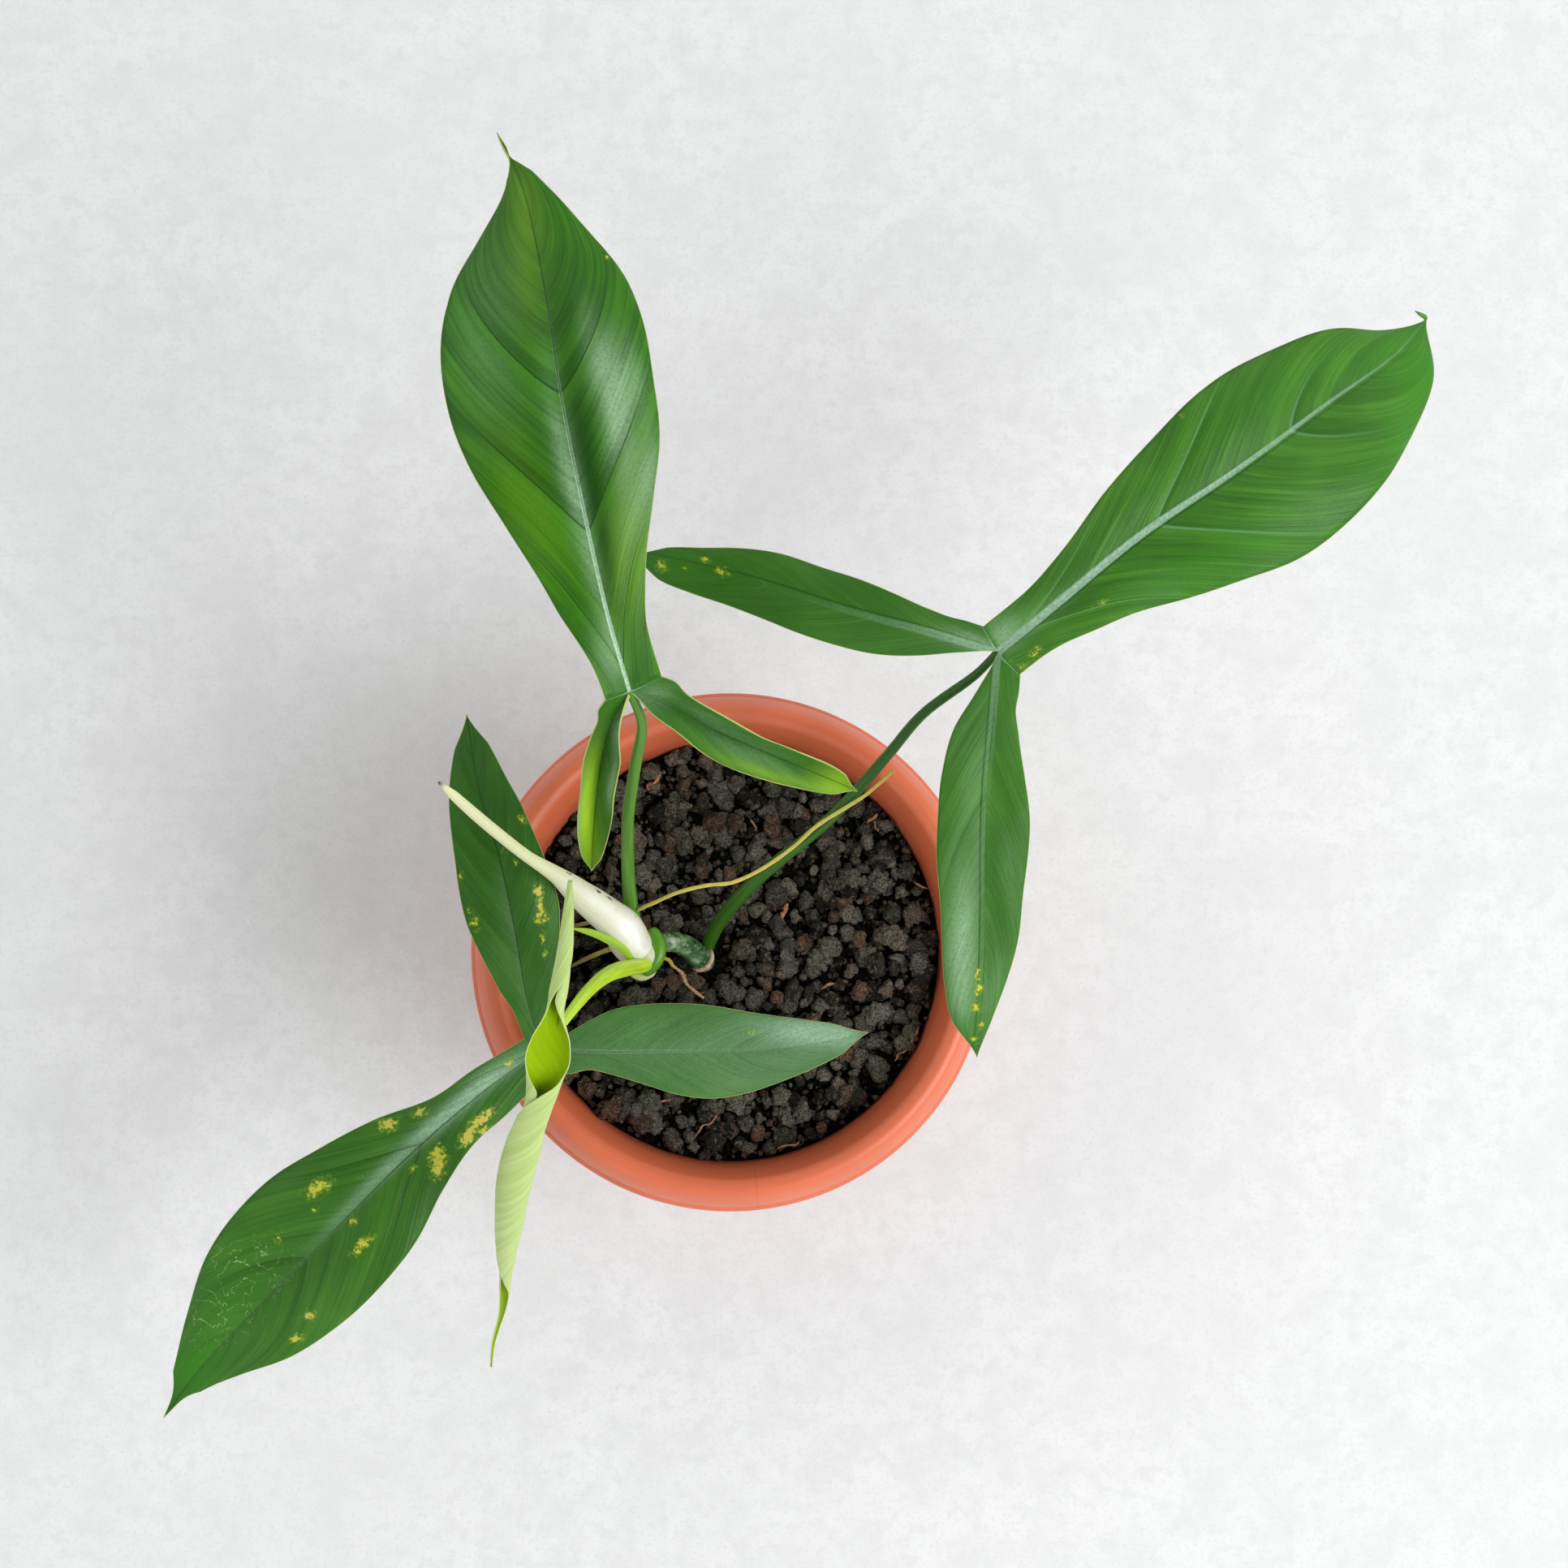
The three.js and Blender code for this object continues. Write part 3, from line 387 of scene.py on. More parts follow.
class Finish:
    """Material with the nodes of one of the plant's surfaces."""

    def __init__(self, name, roughness=0.5, specular=0.5):
        self.material = bpy.data.materials.new(name)
        self.material.use_nodes = True
        self.tree = self.material.node_tree
        self.shader = self.tree.nodes["Principled BSDF"]
        self.shader.inputs["Roughness"].default_value = roughness
        self.shader.inputs["Specular IOR Level"].default_value = specular

    def node(self, kind, inputs, **settings):
        made = self.tree.nodes.new(kind)
        for key, value in settings.items():
            setattr(made, key, value)
        for key, value in inputs.items():
            self.feed(made.inputs[key], value)
        return made

    def feed(self, socket, value):
        if isinstance(value, bpy.types.NodeSocket):
            self.tree.links.new(value, socket)
        elif socket.type == "RGBA":
            socket.default_value = (*value, 1)
        else:
            socket.default_value = value

    def field(self, name):
        """The three values of a field of the mesh."""
        return self.split(self.node("ShaderNodeAttribute", {}, attribute_name=name).outputs["Vector"])

    def place(self):
        return self.node("ShaderNodeTexCoord", {}).outputs["Object"]

    def split(self, vector):
        return self.node("ShaderNodeSeparateXYZ", {0: vector}).outputs

    def vector(self, x, y, z):
        return self.node("ShaderNodeCombineXYZ", {0: x, 1: y, 2: z}).outputs[0]

    def math(self, operation, a, b=0.0):
        return self.node("ShaderNodeMath", {0: a, 1: b}, operation=operation).outputs[0]

    def plus(self, a, b):
        return self.math("ADD", a, b)

    def less(self, a, b):
        return self.math("SUBTRACT", a, b)

    def times(self, product, *others):
        for other in others:
            product = self.math("MULTIPLY", product, other)
        return product

    def away(self, value):
        """Distance of a value from nought."""
        return self.math("ABSOLUTE", value)

    def span(self, value, low, high, to_low=0.0, to_high=1.0):
        """Smooth step of a value between two limits."""
        return self.node("ShaderNodeMapRange", {0: value, 1: low, 2: high, 3: to_low, 4: to_high},
                         interpolation_type="SMOOTHSTEP").outputs[0]

    def noise(self, vector, scale=1.0, detail=3.0, roughness=0.5, distortion=0.0):
        return self.node("ShaderNodeTexNoise", {"Vector": vector, "Scale": scale, "Detail": detail,
                                                "Roughness": roughness, "Distortion": distortion}).outputs[0]

    def cells(self, vector, scale):
        return self.node("ShaderNodeTexVoronoi", {"Vector": vector, "Scale": scale}).outputs[0]

    def mix(self, share, under, over, blend="MIX"):
        return self.node("ShaderNodeMix", {0: share, 6: under, 7: over}, data_type="RGBA",
                         blend_type=blend).outputs[2]

    def lay(self, under, over, value, low, high, least=0.0, most=1.0):
        """Colour with another one over it, from least to most of it as the value goes from low to high."""
        return self.mix(self.span(value, low, high, least, most), under, over)

    def ramp(self, value, *stops):
        made = self.node("ShaderNodeValToRGB", {0: value})
        elements = made.color_ramp.elements
        while len(elements) < len(stops):
            elements.new(1.0)
        for element, (place, colour) in zip(elements, stops):
            element.position = place
            element.color = (*colour, 1)
        return made.outputs[0]

    def bump(self, height, distance, strength=1.0, under=None):
        inputs = {"Height": height, "Distance": distance, "Strength": strength}
        if under is not None:
            inputs["Normal"] = under
        return self.node("ShaderNodeBump", inputs).outputs[0]

    def done(self, colour, roughness=None, normal=None):
        for name, value in (("Base Color", colour), ("Roughness", roughness), ("Normal", normal)):
            if value is not None:
                self.feed(self.shader.inputs[name], value)
        return self.material


def terracotta_plastic(settings):
    """Satin plastic with faint clouds, dust and the mould's seam on the front wall."""
    finish = Finish("terracotta plastic", 0.4)
    place = finish.place()
    cloud = finish.noise(place, 22.0, 4.0, 0.55)
    dust = finish.noise(place, 420.0, 3.0, 0.6)
    colour = finish.lay(settings.colour, shaded(settings.colour, 0.86), cloud, 0.35, 0.7)
    colour = finish.lay(colour, POT_DUST, dust, 0.62, 0.8, 0.0, 0.12)
    x, y = finish.split(place)[:2]
    seam = finish.span(finish.away(finish.plus(x, finish.times(y, 0.106))), 0.0001, 0.0005, 0.3, 0.0)
    seam = finish.times(seam, finish.span(y, -0.07, -0.06, 1.0, 0.0))
    colour = finish.mix(seam, colour, shaded(settings.colour, 0.6))
    normal = finish.bump(finish.noise(place, 900.0, 2.0), 0.00005, 0.35)
    return finish.done(colour, finish.span(cloud, 0.3, 0.7, 0.34, 0.46), normal)


def earth_with_painted_shade(settings):
    # painted shade: the bed under the grains is laid nearly black, so that the gaps between the grains read
    # as shade
    finish = Finish("earth with painted shade", 0.95, 0.03)
    crumb = finish.noise(finish.place(), 700.0, 4.0, 0.7)
    colour = finish.lay(shaded(settings.colour, 0.01), shaded(settings.colour, 0.2), crumb, 0.4, 0.75)
    return finish.done(colour, normal=finish.bump(crumb, 0.0006, 0.9))


def volcanic_grit(settings):
    """Porous grains: the tint field holds each grain's own tone, warmth and paleness."""
    finish = Finish("volcanic grit", 0.92, 0.12)
    tone, warmth, pale = finish.field("tint")
    place = finish.place()
    pores = finish.noise(place, 1500.0, 5.0, 0.75)
    pits = finish.cells(place, 1050.0)
    patches = finish.noise(place, 500.0, 4.0, 0.65)
    colour = finish.mix(tone, shaded(settings.colour, 0.08), shaded(settings.colour, 3.0))
    colour = finish.lay(colour, settings.warm_colour, warmth, 0.76, 0.97, 0.0, 0.85)
    colour = finish.lay(colour, settings.pale_colour, pale, 0.84, 1.0, 0.0, 0.8)
    colour = finish.lay(colour, settings.pale_colour, patches, 0.5, 0.7, 0.0, 0.75)
    # painted shade: the pits and pores are laid nearly black
    solid = finish.times(finish.span(pores, 0.34, 0.52), finish.span(pits, 0.05, 0.3))
    height = finish.plus(pores, finish.times(solid, 0.6))
    return finish.done(finish.mix(solid, PORE_SHADE, colour), normal=finish.bump(height, 0.0014))


def bark_chip(settings):
    finish = Finish("bark chip", 0.85, 0.3)
    grain = finish.noise(finish.place(), 600.0, 4.0, 0.65)
    colour = finish.ramp(grain, (0.3, BARK_SHADE), (0.7, settings.chip_colour))
    return finish.done(colour, normal=finish.bump(grain, 0.0004, 0.8))


def leaf_upper(name, settings, look, veins):
    """Satin green with bands along the side veins, a midrib, a thin yellow margin, mottled spots, painted
    sheen and painted shade.
    """
    finish = Finish(name, look["roughness"], 0.22)
    vein, reach, walk = finish.field("vein")
    from_rib, from_edge, mottle = finish.field("trim")
    glow, painted_sheen, trail = finish.field("tone")
    painted_shade, pale, crease = finish.field("shade")
    veining, banding, lobe_seed = finish.field("veining")
    place = finish.place()
    clouds = finish.noise(place, 38.0, 3.0, 0.5)
    grain = finish.noise(place, 1100.0, 3.0, 0.6)

    def stripes(rate, spread, seed, detail):
        seeded = finish.plus(lobe_seed, seed + look["seed"])
        lines = finish.vector(finish.times(vein, rate), finish.times(reach, spread), seeded)
        return finish.noise(lines, 1.0, detail, 0.55)

    # Bands from the side veins, soft clouds, and the marks that glow, lay on painted shade or lay on painted
    # sheen
    wide = stripes(20.0, 0.8, 0.0, 2.0)
    bands = stripes(80.0, 1.2, 3.0, 3.0)
    threads = stripes(300.0, 3.0, 7.0, 2.0)
    tone = finish.less(finish.plus(finish.times(wide, 0.5), finish.times(bands, 0.5)), 0.5)
    tone = finish.plus(finish.times(tone, banding), finish.times(finish.less(clouds, 0.5), 0.4))
    green = finish.ramp(finish.plus(tone, 0.5), (0.3, look["deep"]), (0.5, look["middle"]),
                        (0.72, look["bright"]))
    green = finish.lay(green, look["bright"], threads, 0.45, 0.62, 0.0, 0.2)
    green = finish.mix(glow, green, look["glow"])
    # painted shade: the lobe's own darkening and its deep marks draw the green towards the shadow tint
    green = finish.mix(finish.times(painted_shade, 0.9), green, look["shadow"])
    # painted sheen: a pale grey-green laid over the green, broken up by the grain and the bands
    sheen = finish.times(painted_sheen, finish.span(grain, 0.3, 0.65, 0.65, 1.0),
                         finish.span(bands, 0.3, 0.6, 0.7, 1.0))
    green = finish.mix(sheen, green, look["painted_sheen"])

    # Side veins: a thin line with painted light on the slope below it and painted shade on the slope above
    turn = finish.plus(finish.times(vein, 1 / veins[1]), 4.5 - veins[0] / veins[1])
    past = finish.less(finish.math("FRACT", turn), 0.5)
    fade = finish.times(finish.span(reach, 0.6, 1.0, 1.0, 0.0), finish.span(walk, 0.6, 0.8, 1.0, 0.0))
    fade = finish.times(veining, fade, look["line"])
    below = finish.times(finish.span(past, -0.24, -0.03, 0.0, 0.45), finish.span(past, -0.02, 0, 1.0, 0.0))
    above = finish.times(finish.span(past, 0, 0.02, 0.0, 0.42), finish.span(past, 0.03, 0.22, 1.0, 0.0))
    line = finish.span(finish.away(past), 0.005, 0.021, 1.0, 0.0)
    for share, tint in ((below, look["bright"]), (above, look["shadow"]), (line, look["vein"])):
        green = finish.mix(finish.times(share, fade), green, tint)

    # Midrib, pale partly in its own colour and partly as painted sheen, and painted shade in the fold beside
    # it
    width = finish.span(walk, 0.0, 1.0, look["rib_width"], look["rib_width"] * 0.35)
    rib = finish.span(finish.math("DIVIDE", finish.away(from_rib), width), 0.55, 1.0, 1.0, 0.0)
    rib_colour = finish.lay(shaded(look["rib"], 0.72), look["rib"], grain, 0.35, 0.65)
    green = finish.mix(finish.times(rib, pale), green, rib_colour)
    from_fold = finish.away(finish.plus(from_rib, look["crease_shift"]))
    fold = finish.times(finish.span(from_fold, 0.16, 0.42, 1.0, 0.0), crease)
    green = finish.mix(fold, green, look["shadow"])

    # Yellow spots with their halo, pale trails and the margin
    spots = finish.plus(finish.noise(place, 700.0, 4.0, 0.65), finish.times(mottle, 0.36))
    halo = finish.times(finish.span(spots, 0.55, 0.8, 0.0, 0.7), finish.span(mottle, 0.02, 0.3))
    green = finish.mix(halo, green, settings.spot_halo_colour)
    patch = finish.times(finish.span(spots, 0.72, 0.8), finish.span(mottle, 0.1, 0.3))
    green = finish.mix(patch, green, finish.lay(settings.spot_colour, look["scar"], clouds, 0.4, 0.6))
    wander = finish.away(finish.less(finish.noise(place, 150.0, 2.0, 0.5, 0.8), 0.5))
    broken = finish.span(finish.noise(place, 1300.0, 2.0, 0.6), 0.42, 0.55)
    thread = finish.times(finish.span(wander, 0.006, 0.016, 1.0, 0.0), trail, broken)
    green = finish.mix(finish.times(thread, 0.8), green, TRAIL)
    green = finish.lay(green, settings.margin_colour, from_edge, 0.02, look["margin"], 0.9, 0.0)

    roughness = finish.span(grain, 0.3, 0.7, look["roughness"] - 0.05, look["roughness"] + 0.08)
    normal = finish.bump(grain, 0.00016, 0.6)
    normal = finish.bump(threads, 0.0002, 0.4, normal)
    normal = finish.bump(bands, 0.0006, 0.4, normal)
    return finish.done(green, roughness, normal)


def leaf_under(settings):
    """Paler, duller green with a pale midrib."""
    finish = Finish("leaf underside", 0.6, 0.35)
    vein, reach = finish.field("vein")[:2]
    from_rib, from_edge = finish.field("trim")[:2]
    lines = finish.vector(finish.times(vein, 200.0), finish.times(reach, 3.0), 4.0)
    threads = finish.noise(lines, 1.0, 3.0, 0.5)
    base = settings.under_colour
    green = finish.mix(threads, shaded(base, 0.85), shaded(base, 1.2))
    green = finish.lay(green, RIB_BELOW, finish.away(from_rib), 1.2, 2.4, 0.75, 0.0)
    green = finish.lay(green, settings.margin_colour, from_edge, 0.25, 0.6, 1.0, 0.0)
    return finish.done(green, normal=finish.bump(threads, 0.0003, 0.5))


def stalk_skin(name, colour, edge, foot, foot_length, roughness=0.42):
    """Satin skin with streaks along the stalk and another colour near its foot."""
    finish = Finish(name, roughness, 0.35)
    across, up, length = finish.field("skin")
    lines = finish.vector(finish.times(across, 3.2), finish.times(up, 3.2), finish.times(length, 0.03))
    streaks = finish.noise(lines, 1.0, 4.0, 0.6)
    specks = finish.noise(finish.place(), 900.0, 3.0, 0.6)
    tinted = finish.ramp(streaks, (0.32, shaded(colour, 0.72)), (0.5, colour), (0.7, edge))
    tinted = finish.lay(tinted, foot, length, 0.0, foot_length, 1.0, 0.0)
    normal = finish.bump(streaks, 0.0003, 0.5)
    return finish.done(tinted, normal=finish.bump(specks, 0.00015, 0.4, normal))


def stem_skin(settings):
    """Dark grey-green skin with a pale waxy coat and scuffs."""
    finish = Finish("stem skin", 0.34, 0.55)
    place = finish.place()
    cloud = finish.noise(place, 190.0, 4.0, 0.6)
    fine = finish.noise(place, 800.0, 4.0, 0.65)
    colour = finish.ramp(cloud, (0.4, STEM_SHADE), (0.51, settings.stem_colour), (0.62, STEM_WAX))
    colour = finish.lay(colour, STEM_SCUFF, fine, 0.56, 0.68, 0.0, 0.7)
    normal = finish.bump(cloud, 0.0006, 0.5)
    return finish.done(colour, normal=finish.bump(fine, 0.0002, 0.6, normal))


def leaf_scar():
    finish = Finish("leaf scar", 0.8, 0.3)
    cork = finish.noise(finish.place(), 500.0, 4.0, 0.65)
    colour = finish.ramp(cork, (0.35, SCAR_LOW), (0.65, SCAR_HIGH))
    return finish.done(colour, normal=finish.bump(cork, 0.0004, 0.8))


def cup_skin():
    """Saturated green with an inner face painted paler as a sheen, and a thin worn rim between them."""
    finish = Finish("clasping cup", 0.35, 0.5)
    walk = finish.field("walk")[0]
    skin = finish.noise(finish.place(), 260.0, 3.0, 0.55)
    outer = finish.mix(skin, (0.06, 0.22, 0.005), (0.12, 0.3, 0.01))
    # painted sheen: the inner face is given a paler grey-green
    inner = finish.mix(skin, (0.17, 0.36, 0.1), (0.3, 0.46, 0.22))
    colour = finish.lay(outer, inner, walk, 0.38, 0.48)
    rim = finish.times(finish.span(walk, 0.3, 0.33), finish.span(walk, 0.36, 0.39, 1.0, 0.0),
                       finish.span(skin, 0.4, 0.55))
    colour = finish.mix(rim, colour, (0.48, 0.4, 0.2))
    return finish.done(colour, normal=finish.bump(skin, 0.0003, 0.4))


def root_skin(name, start, end, change, roughness=0.6):
    """Root whose colour changes from start to end about the given share of its length."""
    finish = Finish(name, roughness, 0.4)
    bark = finish.noise(finish.place(), 1100.0, 3.0, 0.6)
    base = finish.lay(start, end, finish.field("walk")[0], change - 0.12, change + 0.12)
    colour = finish.lay(base, shaded(end, 0.6), bark, 0.45, 0.7, 0.0, 0.55)
    return finish.done(colour, normal=finish.bump(bark, 0.0003, 0.7))


def ivory_sheath(settings):
    """Ivory skin with yellow margins, faint ribs along it, flecks, dark dashes near one edge and a painted
    highlight.
    """
    finish = Finish("ivory sheath", 0.4, 0.5)
    turn, walk, from_edge = finish.field("curl")
    dash, tip, painted_highlight = finish.field("mark")
    ribs = finish.noise(finish.vector(finish.times(turn, 26.0), finish.times(walk, 2.2), 1.0), 1.0, 3.0, 0.55)
    cloud = finish.noise(finish.place(), 160.0, 4.0, 0.6)
    flecks = finish.noise(finish.place(), 700.0, 3.0, 0.7)
    colour = finish.lay(settings.sheath_colour, SHEATH_RIB, ribs, 0.35, 0.7)
    colour = finish.lay(colour, SHEATH_CLOUD, cloud, 0.45, 0.75, 0.0, 0.35)
    colour = finish.lay(colour, SHEATH_BELLY, walk, 0.2, 0.4, 0.55, 0.0)
    # painted highlight: a near-white patch laid over the ivory
    colour = finish.mix(finish.times(painted_highlight, finish.span(ribs, 0.3, 0.6, 1.0, 0.7)), colour, SHEATH_PAINTED_HIGHLIGHT)
    colour = finish.lay(colour, SHEATH_TAIL, walk, 0.4, 0.62, 0.0, 0.6)
    colour = finish.lay(colour, SHEATH_MARGIN, from_edge, 0.1, 1.2, 0.7, 0.0)
    colour = finish.lay(colour, SHEATH_FOOT, walk, 0.0, 0.05, 0.8, 0.0)
    colour = finish.lay(colour, SHEATH_FLECK, flecks, 0.6, 0.72, 0.0, 0.4)
    marked = finish.span(finish.plus(flecks, finish.times(dash, 0.35)), 0.72, 0.8)
    colour = finish.mix(finish.times(marked, finish.span(dash, 0.1, 0.5)), colour, SHEATH_DASH)
    colour = finish.mix(tip, colour, SHEATH_TIP)
    return finish.done(colour, normal=finish.bump(ribs, 0.0004, 0.4))


def rolled_leaf(name, colour, pale, streak, roughness, specular):
    """Young leaf face with fine side veins that cross it on a slant."""
    finish = Finish(name, roughness, specular)
    turn, walk, from_edge = finish.field("curl")
    tear, tip, neck = finish.field("mark")
    slanted = finish.plus(walk, finish.times(turn, -0.2))
    across = finish.vector(finish.times(slanted, 320.0), finish.times(turn, 1.5), 2.0)
    veins = finish.noise(across, 1.0, 2.0, 0.5)
    bands = finish.noise(finish.vector(finish.times(slanted, 70.0), turn, 5.0), 1.0, 3.0, 0.5)
    shade = finish.lay(colour, pale, bands, 0.35, 0.65)
    shade = finish.lay(shade, shaded(colour, 0.78), veins, 0.42, 0.62, 0.0, streak)
    for share, tint in ((tear, NEW_LEAF_TEAR), (tip, NEW_LEAF_TIP), (neck, NEW_LEAF_NECK)):
        shade = finish.mix(share, shade, tint)
    shade = finish.lay(shade, NEW_LEAF_MARGIN, from_edge, 0.02, 0.14, 0.7, 0.0)
    return finish.done(shade, normal=finish.bump(veins, 0.0003, 0.5))


def plaster_floor(settings):
    """Pale floor with soft blotches, painted a little cooler round the pot to cancel the pot's reddish bounce
    light.
    """
    finish = Finish("plaster floor", 0.9, 0.15)
    place = finish.place()
    wide = finish.noise(place, 8.0, 5.0, 0.6)
    cloud = finish.noise(place, 45.0, 5.0, 0.65)
    middling = finish.noise(place, 150.0, 4.0, 0.65)
    fine = finish.noise(place, 700.0, 3.0, 0.6)
    base = settings.floor_colour
    colour = finish.lay(base, shaded(base, 0.95), wide, 0.35, 0.7)
    colour = finish.lay(colour, shaded(base, 0.91), cloud, 0.4, 0.68, 0.0, 0.9)
    colour = finish.lay(colour, shaded(base, 0.9), middling, 0.45, 0.7, 0.0, 0.9)
    colour = finish.lay(colour, shaded(base, 0.86), fine, 0.5, 0.75, 0.0, 0.9)
    x, y = finish.split(place)[:2]
    distance = finish.math("SQRT", finish.plus(finish.times(x, x), finish.times(y, y)))
    # painted light: the cool tint near the pot cancels the reddish light that the pot throws onto the floor
    cool = finish.mix(1.0, colour, BOUNCE_CANCELLING_TINT, "MULTIPLY")
    colour = finish.lay(colour, cool, distance, 0.08, 0.27, 1.0, 0.0)
    return finish.done(colour, normal=finish.bump(middling, 0.0004, 0.3))


# Pot and soil

def wall_radius(z):
    return POT_BASE_RADIUS + (POT_NECK_RADIUS - POT_BASE_RADIUS) * z / POT_NECK_HEIGHT


def pot_shape():
    """Pot turned from three outlines: foot and outer wall, bead below the rim, rim and inside."""
    crest = RIM_CREST_RADIUS
    outside = [[0, 0], [POT_BASE_RADIUS - 3, 0], [POT_BASE_RADIUS - 0.6, 1]]
    outside += [[wall_radius(z), z] for z in (4, 60, POT_NECK_HEIGHT)]
    outside += [[crest - 3.4, 127], [crest - 1, 131.6], [crest + 1.5, 132.6], [crest + 4.6, 129.6],
                [crest + 5.9, 125], [RIM_RADIUS - 2.2, RIM_LIP_HEIGHT]]
    bead = [[RIM_RADIUS - 2.2, RIM_LIP_HEIGHT], [RIM_RADIUS - 0.5, RIM_LIP_HEIGHT], [RIM_RADIUS, 120.4],
            [RIM_RADIUS - 0.4, 123], [RIM_RADIUS - 1.6, 124]]
    rim = [[RIM_RADIUS - 1.6, 124], [RIM_RADIUS - 2, 127.4], [RIM_RADIUS - 3.6, 131], [crest + 2.9, 134.2],
           [crest, POT_HEIGHT], [crest - 2.8, 133.6], [crest - 5, 129.6],
           [wall_radius(POT_NECK_HEIGHT) - POT_WALL + 0.7, 124]]
    rim += [[wall_radius(z) - POT_WALL, z] for z in (POT_NECK_HEIGHT, 60, POT_FLOOR)]
    rim.append([0, POT_FLOOR])
    outline = np.vstack([rounded(outside), rounded(bead, 0.7)[1:], rounded(rim, 2.4, 6)[1:]])
    return turned(outline, POT_SIDES)


def drain_holes():
    cutters = []
    for k in range(DRAIN_HOLES):
        angle = 2 * math.pi * k / DRAIN_HOLES
        x, y = DRAIN_CIRCLE_RADIUS * math.cos(angle), DRAIN_CIRCLE_RADIUS * math.sin(angle)
        reach = 2 * POT_FLOOR
        hole = turned([[0, -reach], [DRAIN_HOLE_RADIUS, -reach], [DRAIN_HOLE_RADIUS, reach], [0, reach]], 32)
        hole.points += np.array([x, y, 0])
        cutters.append(hole)
    return cutters


def lumps(points, random, size, count=6):
    """Slow bumps over directions from a centre, about zero."""
    height = np.zeros(len(points))
    for k in range(count):
        direction = unit(random.normal(size=3))
        rate = size * (1 + k * 0.8)
        height += np.sin(points @ direction * rate + random.uniform(0, 6.3)) / (1 + 0.6 * k)
    return height / 2.2


def ball(level):
    """Points and faces of a ball split from an icosahedron."""
    t = (1 + 5 ** 0.5) / 2
    corners = [(-1, t, 0), (1, t, 0), (-1, -t, 0), (1, -t, 0), (0, -1, t), (0, 1, t),
               (0, -1, -t), (0, 1, -t), (t, 0, -1), (t, 0, 1), (-t, 0, -1), (-t, 0, 1)]
    points = [unit(np.array(corner)) for corner in corners]
    faces = [(0, 11, 5), (0, 5, 1), (0, 1, 7), (0, 7, 10), (0, 10, 11), (1, 5, 9), (5, 11, 4),
             (11, 10, 2), (10, 7, 6), (7, 1, 8), (3, 9, 4), (3, 4, 2), (3, 2, 6), (3, 6, 8), (3, 8, 9),
             (4, 9, 5), (2, 4, 11), (6, 2, 10), (8, 6, 7), (9, 8, 1)]
    for _ in range(level):
        middles, split = {}, []

        def middle(a, b):
            key = (min(a, b), max(a, b))
            if key not in middles:
                points.append(unit(points[a] + points[b]))
                middles[key] = len(points) - 1
            return middles[key]

        for a, b, c in faces:
            ab, bc, ca = middle(a, b), middle(b, c), middle(c, a)
            split += [(a, ab, ca), (b, bc, ab), (c, ca, bc), (ab, bc, ca)]
        faces = split
    return np.array(points), np.array(faces)


def grit_shape(places, sizes, level, rough, random, brightest=1.0):
    """Many separate grains in one shape, each with its own lumps and tint."""
    unit_points, unit_faces = ball(level)
    points, faces, tints = [], [], []
    for place, size in zip(places, sizes):
        stretch = random.uniform(0.72, 1.25, 3)
        grain = unit_points * (1 + rough * lumps(unit_points, random, 2.6)[:, None])
        grain = grain * (1 + 0.5 * rough * lumps(unit_points, random, 6.5)[:, None])
        turn = np.linalg.qr(random.normal(size=(3, 3)))[0]
        if np.linalg.det(turn) < 0:
            turn[:, 0] *= -1
        grain = (grain * stretch) @ turn.T * size * np.array([1, 1, GRAIN_FLATNESS])
        faces.append(unit_faces + len(points) * len(unit_points))
        points.append(grain + place)
        tints.append(np.tile(random.uniform(0, 1, 3) * [brightest, 1, 1], (len(unit_points), 1)))
    return Shape(np.vstack(points), np.vstack(faces).tolist(), tint=np.vstack(tints))


def scatter(random, count, radius, apart):
    """Places in a disc, no nearer to each other than apart, and clear of what stands in the soil."""
    made = np.empty((0, 2))
    for _ in range(count * TRIES_FOR_EACH_GRAIN):
        if len(made) >= count:
            break
        far = radius * math.sqrt(random.uniform())
        angle = random.uniform(0, 2 * math.pi)
        place = far * np.array([math.cos(angle), math.sin(angle)])
        if len(made) and np.min(np.linalg.norm(made - place, axis=1)) < apart:
            continue
        if any(math.hypot(place[0] - x, place[1] - y) < clear for x, y, clear in KEPT_CLEAR):
            continue
        made = np.vstack([made, place])
    return made


def soil_bed_shape(random):
    """Plug of soil that fills the pot, with a rough dark top."""
    rings, segments = 64, 180
    top_radius = wall_radius(SOIL_LEVEL) - POT_WALL - SOIL_CLEARANCE
    bottom = POT_FLOOR + GAP
    bottom_radius = wall_radius(bottom) - POT_WALL - SOIL_CLEARANCE
    radius = np.linspace(0.4, top_radius, rings)
    angle = np.linspace(0, 2 * math.pi, segments, endpoint=False)
    x, y = radius[:, None] * np.cos(angle), radius[:, None] * np.sin(angle)
    flat = np.stack([x.ravel(), y.ravel(), np.zeros(x.size)], -1)
    height = BED_LEVEL + 0.7 * lumps(flat, random, 0.35, 8) + 0.4 * lumps(flat, random, 1.1, 8)
    top = np.stack([x.ravel(), y.ravel(), height], -1)
    top[:, 2] -= BED_EDGE_DROP * (np.repeat(radius, segments) / top_radius) ** 4
    round_foot = [bottom_radius * np.cos(angle), bottom_radius * np.sin(angle), np.full(segments, bottom)]
    points = np.vstack([top, np.stack(round_foot, -1), [[0, 0, BED_LEVEL], [0, 0, bottom]]])
    faces = [face[::-1] for face in grid_faces(rings + 1, segments, closed=True)]
    centre, foot, wall = len(points) - 2, len(points) - 1, rings * segments
    for k in range(segments):
        ahead = (k + 1) % segments
        faces += [[k, ahead, centre], [wall + ahead, wall + k, foot]]
    return Shape(points, faces)


